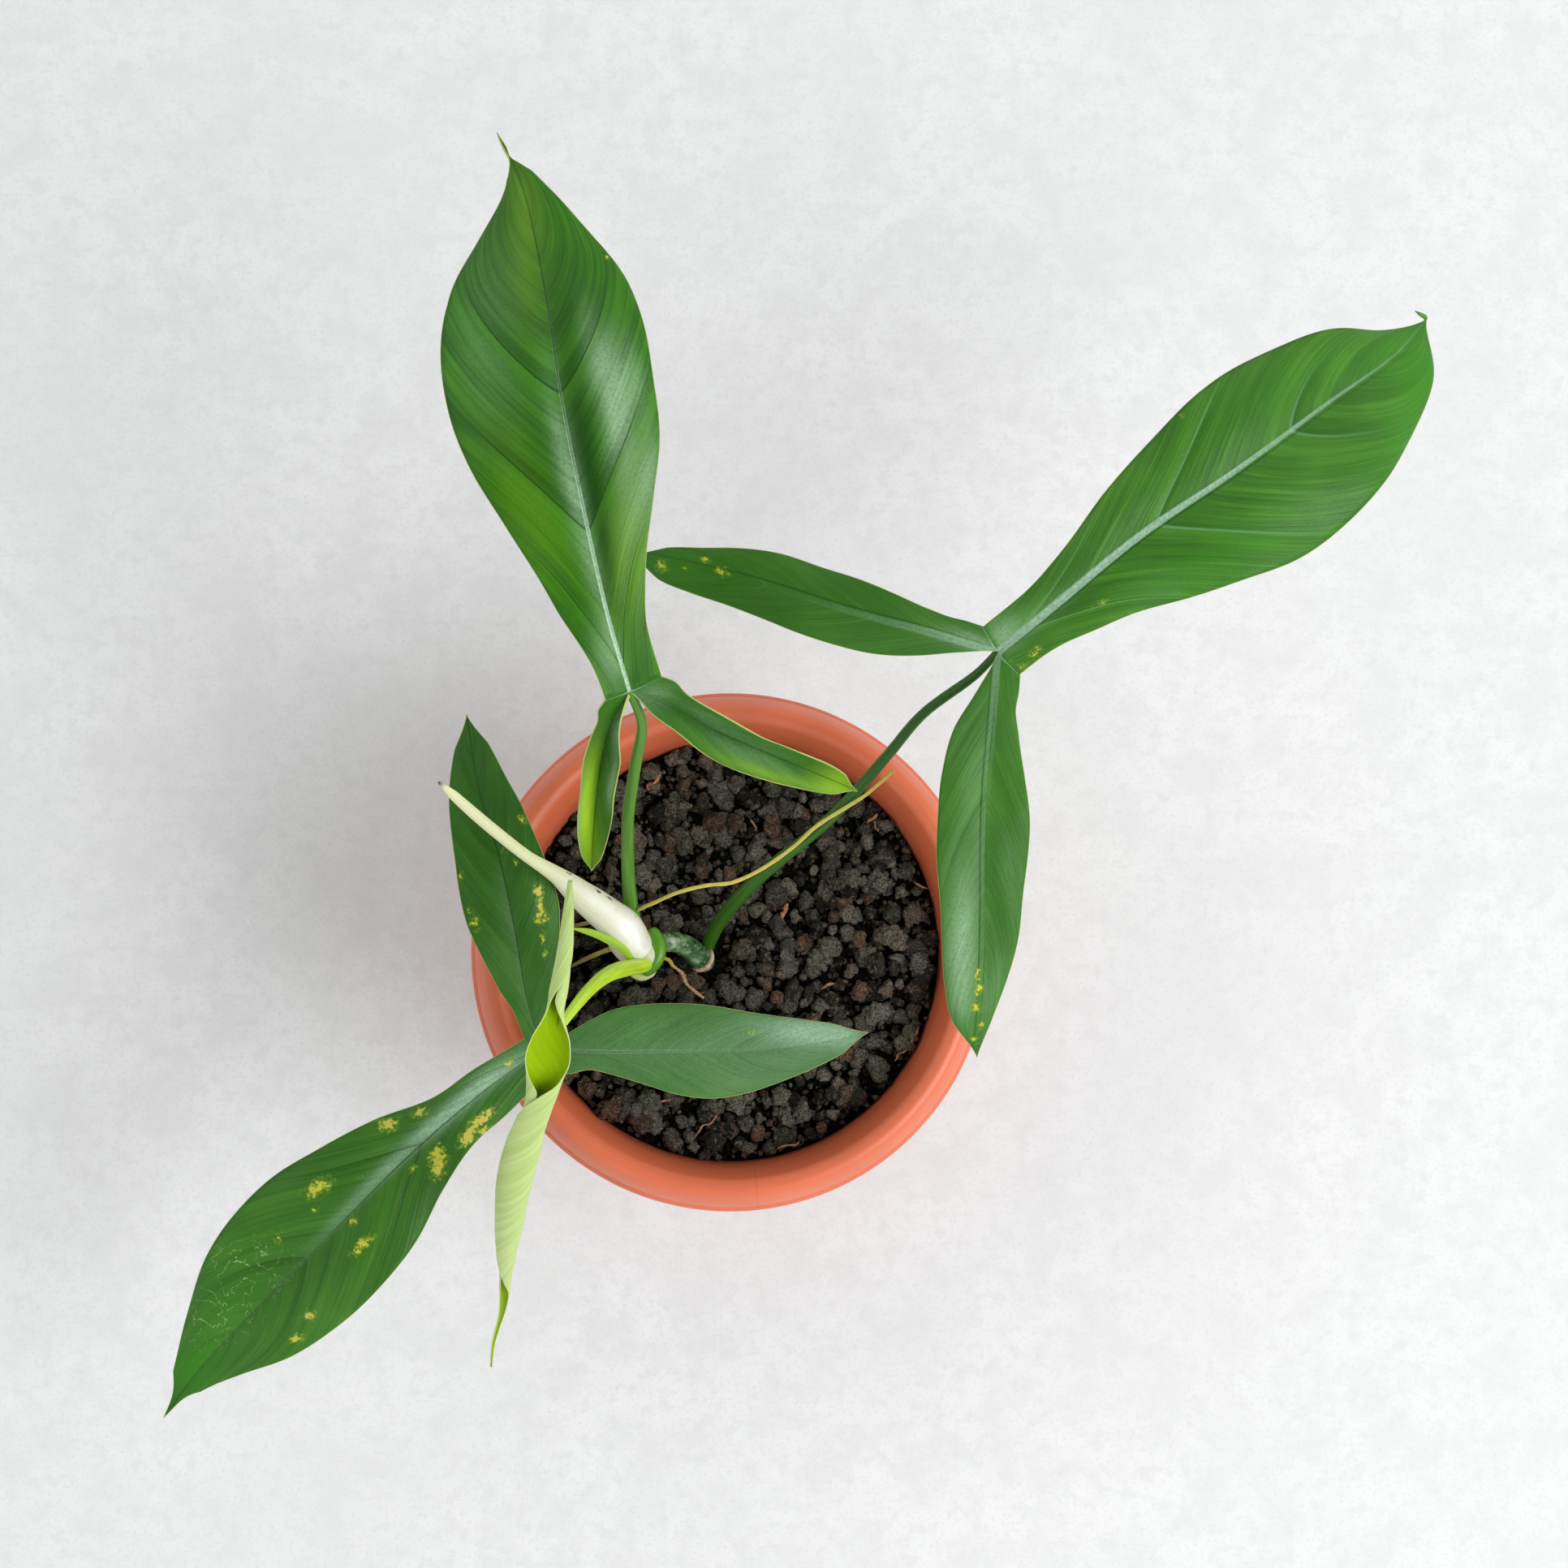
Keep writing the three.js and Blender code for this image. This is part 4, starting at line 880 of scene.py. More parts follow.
def chip_shape(x, y, turn, length, radius, random):
    """Splinter or fibre that lies on the grains."""
    steps = np.linspace(-0.5, 0.5, 5)[:, None] * length
    direction = np.array([math.cos(math.radians(turn)), math.sin(math.radians(turn)), 0.12])
    route = np.array([x, y, CHIP_LEVEL]) + steps * direction
    route += random.normal(0, 0.05 * length, (5, 3)) * np.array([1, 1, 0.3])
    radii = [share * radius for share in (0.35, 1, 0.9, 1, 0.3)]
    return tube(route.tolist(), radii, sides=10, rows=24, knob=0.35, knob_length=2.5, flat=0.35,
                seed=int(abs(x * 7 + y)))


# Stem, stalks and roots: each route runs from its foot to its end, in millimetres

STEM = {
    "route": [[-5, -7, 84], [-7, -5.5, 104], [-10, -3, 114], [-15.6, 1.4, 122], [-21.2, 2.8, 127.6],
              [-24.8, 1.6, 130]],
    "radii": [3, 3, 3.1, 4.2, 3.7, 3.4],
    "sides": 40, "rows": 120, "knob": 0.07, "knob_length": 11, "seed": 4,
}
RIGHT_STALK = {
    "route": [[-4, -0.5, 84], [-7.6, 1.8, 112], [-7, 4.2, 122], [-3.1, 11.1, 132], [9.3, 24.3, 148],
              [33.2, 43.7, 166], [50.4, 62.8, 180], [61.2, 75.3, 190], [78.1, 87.6, 199], [83.6, 93.2, 202.4],
              [84.8, 94.4, 205]],
    "radii": [2, 2.2, 2.4, 2.4, 2.3, 2.1, 2, 1.85, 1.7, 1.6, 1.3],
    "knob": 0.03, "seed": 7,
}
FRONT_STALK = {
    "route": [[-22, -31, 84], [-25, -33, 108], [-31, -33.4, 123], [-39.2, -33.3, 137], [-51, -33.6, 149.5],
              [-61.4, -34.2, 155.6], [-64.4, -34.4, 158.4]],
    "radii": [2.4, 2.6, 2.5, 2.3, 2.1, 1.7, 1.3],
    "knob": 0.03, "seed": 9,
}
BACK_STALK = {
    "route": [[-32.6, 6.2, 133.4], [-33.8, 10.8, 137.4], [-34.8, 17, 146], [-35.3, 28.2, 169],
              [-34.9, 41.6, 195], [-32.2, 56.5, 221.5], [-30.3, 67, 239.5], [-33.2, 74, 248.4],
              [-34, 75.8, 251.8]],
    "radii": [2.6, 2.5, 2.3, 2.2, 2.1, 2, 1.9, 1.7, 1.3],
    "knob": 0.03, "flat": 0.06, "seed": 5,
}
NEW_STALK = {
    "route": [[-27.6, -2.2, 135.4], [-28.8, -4.6, 139.6], [-30.6, -5.8, 143], [-33.2, -6.4, 147.4],
              [-37, -7.4, 160], [-42.4, -10.4, 184], [-48, -16.4, 208], [-55.8, -27.8, 235.2],
              [-56.4, -28.8, 238.2]],
    "radii": [2.4, 2.8, 2.9, 2.7, 2.4, 2.1, 1.9, 1.6, 1.4],
    "knob": 0.03, "flat": 0.1, "seed": 11,
}
ROOT_MESH = {"sides": 16, "rows": 160, "seed": 13}
LONG_ROOT = {
    "route": [[-32.6, 12.8, 142.8], [-30.3, 13.9, 145], [-26.4, 15.4, 148], [-18.5, 18.5, 154.5],
              [-9, 20.7, 157.5], [-0.4, 21.7, 158], [9.6, 26.3, 158.2], [20, 33.5, 161.2], [27.4, 40, 166.6],
              [35.4, 45, 171.2], [43.2, 49.8, 175], [52.6, 57.8, 179.4]],
    "radii": [0.65] * 10 + [0.6, 0.5],
    "knob": 0.16, "knob_length": 16, **ROOT_MESH,
}
LEFT_ROOT = {
    "route": [[-33, 1.2, 126], [-36, 1.4, 122.5], [-41.3, 0.6, 120.4], [-48.1, -1.9, 118.6],
              [-56, -5.5, 114]],
    "radii": [1, 0.9, 0.85, 0.8, 0.6],
    "knob": 0.2, "knob_length": 5, **ROOT_MESH,
}
SMALL_ROOT = {
    "route": [[-33, 6, 128.5], [-39, 9.5, 123.5], [-46, 10, 120.6], [-52.3, 9, 119.5], [-58.5, 7.5, 114]],
    "radii": [0.9, 0.85, 0.8, 0.7, 0.5],
    "knob": 0.2, "knob_length": 5, **ROOT_MESH,
}
DRY_ROOT = {
    "route": [[-23.6, -2.6, 127], [-21.4, -3.6, 125.6], [-20.3, -5.2, 123.5], [-16.9, -8, 121],
              [-15.5, -11.3, 119.6], [-12.4, -14.1, 118], [-9.8, -16.1, 116.4], [-8.6, -17.4, 112]],
    "radii": [0.6, 0.6, 0.45, 0.7, 0.45, 0.6, 0.38, 0.25],
    "knob": 0.95, "knob_length": 1.6, **ROOT_MESH,
}

# Corky leaf scar: its place along the stem, how far it stands off and its own thickness
SCAR_PLACE = 0.59
SCAR_RISE = 0.15
SCAR = {
    "radii": [0.7, 0.95, 0.8, 1.0, 0.7],
    "sides": 14, "rows": 120, "knob": 0.2, "knob_length": 3, "seed": 23,
}

# Cup that clasps the crown: open at its mouth, full on its own side and drawn in on the others
CUP_FLOOR = (-28.4, -1.2, 129.4)
CUP_MOUTH = (-32.7, -0.1, 139.0)
CUP_FLOOR_RADIUS = 4.4
CUP_MOUTH_RADIUS = 9.8
CUP_THROAT_RADIUS = 5.4
CUP_SIDE = (0.985, -0.17, 0)
CUP_DRAWN_IN = 0.5
CUP_SINK = 3.0

# Sheath and new leaf: curled sheets whose rows give s, radius and the covered arc in degrees

SHEATH = {
    "axis": [[-30, -2, 131.6], [-34.2, 1.4, 140.2], [-37.5, 6.6, 147], [-43.9, 11.8, 156], [-50.7, 16.9, 164],
             [-58.3, 22.8, 173], [-67.9, 28.6, 183], [-75.4, 34.1, 193.5], [-84.3, 41.2, 206],
             [-94.6, 50.2, 218]],
    "rows": [(0, 5.4, -20, 290), (0.04, 6, -14, 280), (0.08, 6.5, -6, 262), (0.12, 6.8, 2, 240),
             (0.17, 6.6, 8, 215), (0.23, 5.9, 10, 195), (0.31, 5.3, 10, 175), (0.4, 4.1, 10, 170),
             (0.49, 2.5, 10, 170), (0.6, 1.7, 10, 170), (0.8, 1.6, 10, 170), (0.93, 1.4, 20, 160),
             (1, 0.6, 60, 120)],
    "growth": [(0, 0.4), (1, 0.4)],
    "squash": [(0, 1), (1, 1)],
    "half": 0.3,
    "mesh": (170, 56),
    "marks": [
        [(0.45, 0.41, 0.022, 0.03, 1.0), (0.34, 0.41, 0.018, 0.025, 1.0), (0.295, 0.41, 0.018, 0.025, 1.0),
         (0.185, 0.42, 0.01, 0.02, 0.8), (0.12, 0.4, 0.008, 0.02, 0.7)],
        [(1.0, 0.25, 0.016, 1.0, 1.0)],
        # third list: the painted highlight
        [(0.18, 0.26, 0.06, 0.1, 1.0), (0.1, 0.3, 0.07, 0.08, 0.7), (0.32, 0.3, 0.1, 0.07, 0.5)],
    ],
}
SHEATH_BASE = {
    "route": [[-28.9, -2.4, 131.4], [-29.6, -2.6, 134.5], [-31, -1.8, 138.5], [-33.4, 0.2, 142.5]],
    "radii": [4.6, 5.6, 6.1, 5.4],
    "sides": 40, "rows": 60, "seed": 17,
}
# Room that the sheath takes up in the cup
CUP_ROOM = {"route": SHEATH["axis"][:4], "radii": [4.4, 5.4, 6.2, 6.4, 6], "sides": 40, "rows": 60}
# Lip of the sheath's foot below the new leaf's stalk
FOOT_LIP = {
    "route": [[-35.2, -6.6, 138], [-33.4, -8.4, 137.4], [-30.4, -9.2, 137], [-27.6, -8, 137],
              [-26, -5.8, 137.2]],
    "radii": [0.9, 1.5, 1.7, 1.5, 0.9],
    "sides": 24, "rows": 60, "knob": 0.04, "seed": 29,
}
INNER_BUD = {
    "route": [[-32.6, -5.4, 141.5], [-34.2, -4, 145], [-36, -1, 149], [-38.6, 0.9, 152], [-42, 2.6, 155.5],
              [-47.2, 4.6, 161.5], [-53.3, 5.7, 170]],
    "radii": [1.6, 2, 1.8, 1.6, 1.35, 1, 0.3],
    "sides": 20, "rows": 60, "flat": 0.55, "seed": 19,
}
NEW_LEAF = {
    "axis": [[-52.7, 18.3, 227], [-53.2, 5.7, 233], [-54.2, -9.5, 239], [-56.7, -24.5, 241.5],
             [-59.2, -38, 240], [-61.5, -49.4, 233], [-65.3, -60, 223], [-69.6, -73.9, 206.5],
             [-72.5, -89, 185], [-75.3, -107.3, 160], [-77.5, -121.7, 140], [-80.9, -133.7, 127],
             [-82.2, -143.1, 117]],
    "rows": [(0, 0.3, 20, 380), (0.03, 0.9, 15, 420), (0.08, 1.7, 20, 430), (0.12, 2.3, 35, 440),
             (0.145, 2.6, 62, 452), (0.165, 2.7, 95, 466), (0.18, 2.5, 128, 468), (0.19, 2.5, 150, 446),
             (0.205, 3.3, 166, 404), (0.235, 5.9, 182, 368), (0.26, 6.8, 184, 362), (0.285, 5.7, 154, 388),
             (0.31, 4.9, 104, 446), (0.34, 4.3, 100, 495), (0.37, 4.4, 108, 522), (0.41, 5.1, 117, 525),
             (0.455, 5.3, 117, 525), (0.5, 5.2, 117, 525), (0.56, 4.7, 117, 525), (0.62, 4, 117, 525),
             (0.69, 2.9, 120, 515), (0.75, 2.1, 132, 465), (0.82, 1.5, 165, 375), (0.9, 0.7, 195, 345),
             (1, 0.5, 235, 305)],
    "growth": [(0, -1.1), (0.17, -1.1), (0.235, 1.3), (1, 1.3)],
    "squash": [(0, 1), (0.15, 1), (0.22, 0.55), (0.34, 0.5), (0.46, 0.85), (1, 0.9)],
    "half": 0.17,
    "mesh": (260, 90),
    "marks": [
        [(0.204, 0.81, 0.008, 0.012, 1.0)],
        [(1.0, 0.75, 0.02, 1.0, 1.0)],
        [(0.86, 0.75, 0.06, 1.0, 0.5)],
    ],
}


def scar_ring():
    """Corky ring round the stem just above the soil."""
    at = np.array([SCAR_PLACE])
    centre, left, up = (value[0] for value in Route(STEM["route"]).sections(at))
    radius = float(along(STEM["radii"], at)[0]) + SCAR_RISE
    angle = np.linspace(0, 2 * math.pi, 25)
    ring = centre + radius * (np.outer(np.cos(angle), left) + np.outer(np.sin(angle), up))
    return tube(ring.tolist(), **SCAR)


def cup_shape():
    """Cup on the crown, full on the side of the stem and drawn in and sunk on the others."""
    depth = (Vector(CUP_MOUTH) - Vector(CUP_FLOOR)).length
    profile = [[0, 0], [CUP_FLOOR_RADIUS, 0], [CUP_FLOOR_RADIUS + 2, 0.28], [CUP_MOUTH_RADIUS - 0.2, 0.62],
               [CUP_MOUTH_RADIUS, 0.8], [CUP_MOUTH_RADIUS - 0.5, 0.9], [CUP_MOUTH_RADIUS - 1.4, 0.97],
               [CUP_MOUTH_RADIUS - 2.8, 1], [CUP_THROAT_RADIUS + 0.6, 1], [CUP_THROAT_RADIUS, 0.95],
               [CUP_THROAT_RADIUS, 0.6], [0, 0.5]]
    shape = turned(rounded([[r, z * depth] for r, z in profile], 1.6, 6), 96)
    shape = lean(shape, CUP_FLOOR, CUP_MOUTH)
    foot, axis = np.array(CUP_FLOOR), unit(np.subtract(CUP_MOUTH, CUP_FLOOR))
    spine = foot + ((shape.points - foot) @ axis)[:, None] * axis
    out = shape.points - spine
    share = smooth((unit(out) @ CUP_SIDE - 0.02) / 0.45)[:, None]
    drawn = CUP_DRAWN_IN + (1 - CUP_DRAWN_IN) * share
    shape.points = spine + out * drawn - np.array([0, 0, CUP_SINK]) * (1 - share)
    return shape


def scroll(sheet):
    """Curled sheet round its axis, with the fields that its finish reads.

    Its marks stand in three lists, one for each mark value of the finish. Each mark gives s, turn, size
    along, size across and strength.
    """
    curve = Route(sheet["axis"])
    rows, columns = sheet["mesh"]
    table = np.array(sheet["rows"], float)
    s = np.linspace(0, 1, rows)
    radius, first, last = (steady(table[:, 0], table[:, k], s) for k in (1, 2, 3))
    centre, left, up = curve.sections(s)
    share = np.linspace(0, 1, columns)[None, :]
    angle = last[:, None] * (1 - share) + first[:, None] * share
    growth, squash = (np.interp(s, *zip(*sheet[name]))[:, None] for name in ("growth", "squash"))
    reach = radius[:, None] + growth * (angle - (first + last)[:, None] / 2) / 360
    turn = np.radians(angle)
    points = (centre[:, None] + left[:, None] * (reach * np.cos(turn))[..., None]
              + up[:, None] * (squash * reach * np.sin(turn))[..., None])
    arc = np.radians(last - first)[:, None] * reach
    from_edge = np.minimum(share, 1 - share) * arc
    walk = np.broadcast_to(s[:, None], angle.shape)
    curl = np.stack([angle / 360, walk, from_edge], -1).reshape(-1, 3)
    mark = np.zeros((rows * columns, 3))
    for kind, marks in enumerate(sheet["marks"]):
        for at, across, size, breadth, strength in marks:
            distance = ((walk - at) / size) ** 2 + ((angle / 360 - across) / breadth) ** 2
            mark[:, kind] += strength * np.exp(-distance).ravel()
    half = np.full(rows * columns, sheet["half"])
    return thicken(points.reshape(-1, 3), grid_faces(rows, columns), half, half, curl=curl,
                   mark=np.clip(mark, 0, 1))


# Blades: lobe widths are half widths to the left and right of travel at even steps along the midrib

BACK_LEAF = {
    "left_notch": [-41.4, 72.2, 254.5],
    "right_notch": [-24.2, 79.6, 254],
    "root_rise": 0.5,
    "lobes": {
        "middle": {
            "midrib": [[-34, 75.3, 252], [-40, 95, 260], [-46, 120, 264], [-54.8, 162.6, 264],
                       [-60.2, 197, 259], [-68, 233, 248], [-76.5, 253, 240]],
            "left": [9, 12, 17, 24, 31, 34.5, 34, 28, 16.5, 3.8, 0],
            "right": [10, 11, 15, 21.5, 27.2, 28.6, 28, 23.6, 13.6, 4.6, 0],
            "fold": [0.3, 0.3], "arch": -0.28, "wave": 2.2, "waves": 3.2, "phase": 0.6, "drip": 0.45,
            "painted_shade": 0, "banding": 1, "veining": 1, "neck": (0.945, 0.75, 0.014),
            "pale": [0.9, 0.9, 0.8, 0.6, 0.35, 0.15, 0.05, 0, 0],
            "crease": [0, 0.15, 0.3, 0.5, 0.7, 0.8, 0.7, 0.5, 0.2],
            "spots": [(0.72, -0.93, 0.9, 0.9, 1)],
            "glow": [(0.85, 0.03, 14, 4, 0.16), (0.72, 0.2, 24, 5, 0.12), (0.31, -0.75, 18, 6, 0.15),
                (0.34, 0.6, 24, 8, 0.12), (0.2, -0.6, 18, 8, 0.15)],
            "painted_sheen": [(0.555, -0.42, 12, 3.4, 0.7), (0.49, -0.58, 17, 4.2, 0.85), (0.42, -0.56, 15, 4, 0.7),
                (0.5, -0.8, 12, 3, 0.5), (0.34, -0.9, 12, 3, 0.6), (0.38, 0.08, 26, 3, 0.55),
                (0.27, 0.06, 18, 2.5, 0.45), (0.3, -0.72, 16, 5, 0.35), (0.07, 0.2, 9, 4, 0.6),
                (0.6, 0.6, 26, 10, 0.22)],
            "deep": [(0.42, -0.14, 34, 4.5, 0.85), (0.24, -0.2, 22, 3, 0.6), (0.45, 0.45, 36, 12, 0.3)],
        },
        "left": {
            "midrib": [[-34, 75.3, 252], [-39, 67.8, 244], [-42.6, 58, 227], [-44.8, 47, 207],
                       [-46.4, 35.4, 188], [-47.2, 24.4, 172]],
            "left": [0, 2.7, 4.8, 6.4, 6.2, 5.8, 6, 5.6, 4.6, 2.9, 0],
            "right": [8, 3.4, 4.4, 5.1, 5.2, 5.2, 5.3, 5, 4.3, 3, 0],
            "fold": [0.9, 0.9], "arch": -0.15, "wave": 1, "waves": 2.2, "phase": 1, "drip": 0,
            "painted_shade": 0, "banding": 0.5, "veining": 0.1,
            "pale": [0.1, 0, 0, 0, 0],
            "crease": [0.2, 0.5, 0.5, 0.4, 0.2],
            "glow": [(0.55, -0.62, 24, 2.6, 0.85), (0.9, -0.1, 12, 6, 0.22), (0.75, -0.35, 16, 4, 0.3)],
            "painted_sheen": [(0.43, 0.78, 12, 1.1, 0.8), (0.15, 0.75, 9, 2, 0.5), (0.6, -0.9, 20, 0.7, 0.5)],
            "deep": [(0.45, 0.2, 22, 1.6, 0.3)],
        },
        "right": {
            "midrib": [[-34, 75.3, 252], [-22, 71.6, 243.5], [-6, 65, 228], [14, 58.6, 209],
                       [31, 53.6, 190.5], [40.4, 50.6, 181]],
            "left": [9, 5, 4.8, 4.6, 4, 3.6, 3.8, 3.7, 3.6, 2.8, 0],
            "right": [0, 4.8, 6.6, 8.2, 9, 9, 8.4, 7.2, 6, 4, 0],
            "fold": [1.3, 0.35], "arch": -0.12, "wave": 1.2, "waves": 2.4, "phase": 2.4, "drip": 0.1,
            "painted_shade": 0.1, "banding": 0.6, "veining": 0.2,
            "pale": [0.1, 0, 0, 0, 0],
            "crease": [0.2, 0.5, 0.6, 0.5, 0.3],
            "glow": [(0.9, -0.1, 12, 7, 0.6), (0.6, -0.75, 26, 2, 0.35)],
            "painted_sheen": [(0.5, -0.3, 20, 3, 0.25), (0.3, 0.4, 14, 2, 0.2), (0.06, 0.3, 6, 4, 0.4)],
            "deep": [(0.35, -0.1, 26, 2, 0.5)],
        },
    },
    "rib_rise": -0.2,
    "veins": (0.04, 0.23),
}
RIGHT_LEAF = {
    "left_notch": [79.4, 102, 207],
    "right_notch": [91.4, 86.6, 206],
    "root_rise": 0.6,
    "lobes": {
        "middle": {
            "midrib": [[84.4, 94, 205], [102.6, 108.7, 212], [129.5, 130.7, 216], [160, 151.6, 214.4],
                       [193.7, 176.8, 207], [217.5, 194.6, 196], [231.5, 209.6, 184]],
            "left": [9, 9.5, 12.5, 18, 23, 27, 27.5, 24.5, 19, 9, 0],
            "right": [10, 12.5, 17.5, 25, 30.5, 35, 35, 31.5, 25, 15, 0],
            "fold": [0.3, 0.3], "arch": -0.3, "wave": 2.2, "waves": 3.6, "phase": 2.2, "drip": 0,
            "painted_shade": 0, "banding": 1, "veining": 0.9,
            "pale": [0.75, 0.95, 1, 0.95, 0.85, 0.7, 0.5, 0.25, 0.1],
            "crease": [0.3, 0.6, 0.7, 0.7, 0.6, 0.5, 0.4, 0.2, 0],
            "spots": [(0.475, 0.95, 1, 0.9, 0.9), (0.185, -0.55, 1.4, 1, 0.9), (0.16, -0.53, 0.8, 0.8, 0.8),
                (0.14, -0.78, 0.9, 0.9, 0.8), (0.045, -0.75, 2.4, 1.6, 0.95),
                (0.012, -0.85, 1.6, 1.4, 0.8)],
            "glow": [(0.9, -0.3, 16, 12, 0.45), (0.8, -0.85, 24, 6, 0.35), (0.36, -0.7, 28, 6, 0.25),
                (0.66, 0.55, 30, 10, 0.12)],
            "painted_sheen": [(0.02, 0.4, 7, 5, 0.65), (0.09, 0.05, 14, 3, 0.3)],
            "deep": [(0.12, -0.3, 18, 3, 0.35)],
        },
        "left": {
            "midrib": [[84.4, 94, 205], [63, 99.5, 207.4], [34.5, 107.1, 206.6], [6.3, 116.4, 202.5],
                       [-20, 123.5, 196], [-35.3, 127.4, 190]],
            "left": [0, 3.8, 8.2, 11, 11.9, 11.8, 10.6, 9.4, 8.5, 6.2, 0],
            "right": [9, 6.8, 7.4, 9.4, 11, 11.3, 11.4, 9.7, 7.2, 4.7, 0],
            "fold": [0.3, 0.3], "arch": -0.3, "wave": 1.3, "waves": 2.6, "phase": 0.4, "drip": 0.1,
            "painted_shade": 0.35, "banding": 0.5, "veining": 0.2,
            "pale": [0.6, 0.25, 0.05, 0, 0],
            "crease": [0.2, 0.6, 0.7, 0.6, 0.3],
            "spots": [(0.74, -0.07, 2.2, 1.6, 0.9), (0.79, -0.45, 1.6, 1.2, 0.8), (0.9, 0.3, 2.6, 2, 0.8),
                (0.84, 0.1, 1, 1, 0.7)],
            "glow": [(0.88, 0.1, 16, 8, 0.3)],
            "painted_sheen": [(0.06, -0.2, 12, 3, 0.55)],
        },
        "right": {
            "midrib": [[84.4, 94, 205], [82.6, 75.2, 206.4], [80.5, 51.4, 205.4], [80, 28.8, 201.4],
                       [80.5, 4.2, 195], [80.2, -21.9, 186], [79.5, -36.7, 179]],
            "left": [9, 6.8, 9, 12, 14.2, 14, 12.3, 10.7, 7.6, 3.6, 0],
            "right": [0, 5.8, 12.4, 14.8, 15.3, 15.6, 14.6, 13.7, 12.6, 9.4, 0],
            "fold": [0.35, 0.35], "arch": -0.32, "wave": 1.4, "waves": 2.8, "phase": 1.7, "drip": 0,
            "painted_shade": 0.05, "banding": 0.5, "veining": 0.25,
            "pale": [0.35, 0.1, 0, 0, 0],
            "crease": [0.3, 0.7, 0.8, 0.7, 0.4],
            "spots": [(0.78, -0.18, 2, 1.2, 0.9), (0.82, -0.12, 2.2, 1.3, 1), (0.865, -0.2, 2.2, 1.4, 1),
                (0.915, 0.05, 1.8, 1.2, 0.9), (0.95, -0.4, 1.4, 1.2, 0.9), (0.13, 0.4, 0.9, 0.8, 0.6),
                (0.09, 0.8, 1, 0.8, 0.5)],
            "painted_sheen": [(0.74, -0.55, 15, 4.5, 0.75), (0.63, -0.5, 15, 4, 0.4), (0.84, -0.6, 9, 3, 0.4),
                (0.4, -0.3, 30, 6, 0.12), (0.8, 0.6, 12, 3, 0.2)],
        },
    },
    "rib_rise": 0.35,
    "veins": (0.05, 0.285),
}
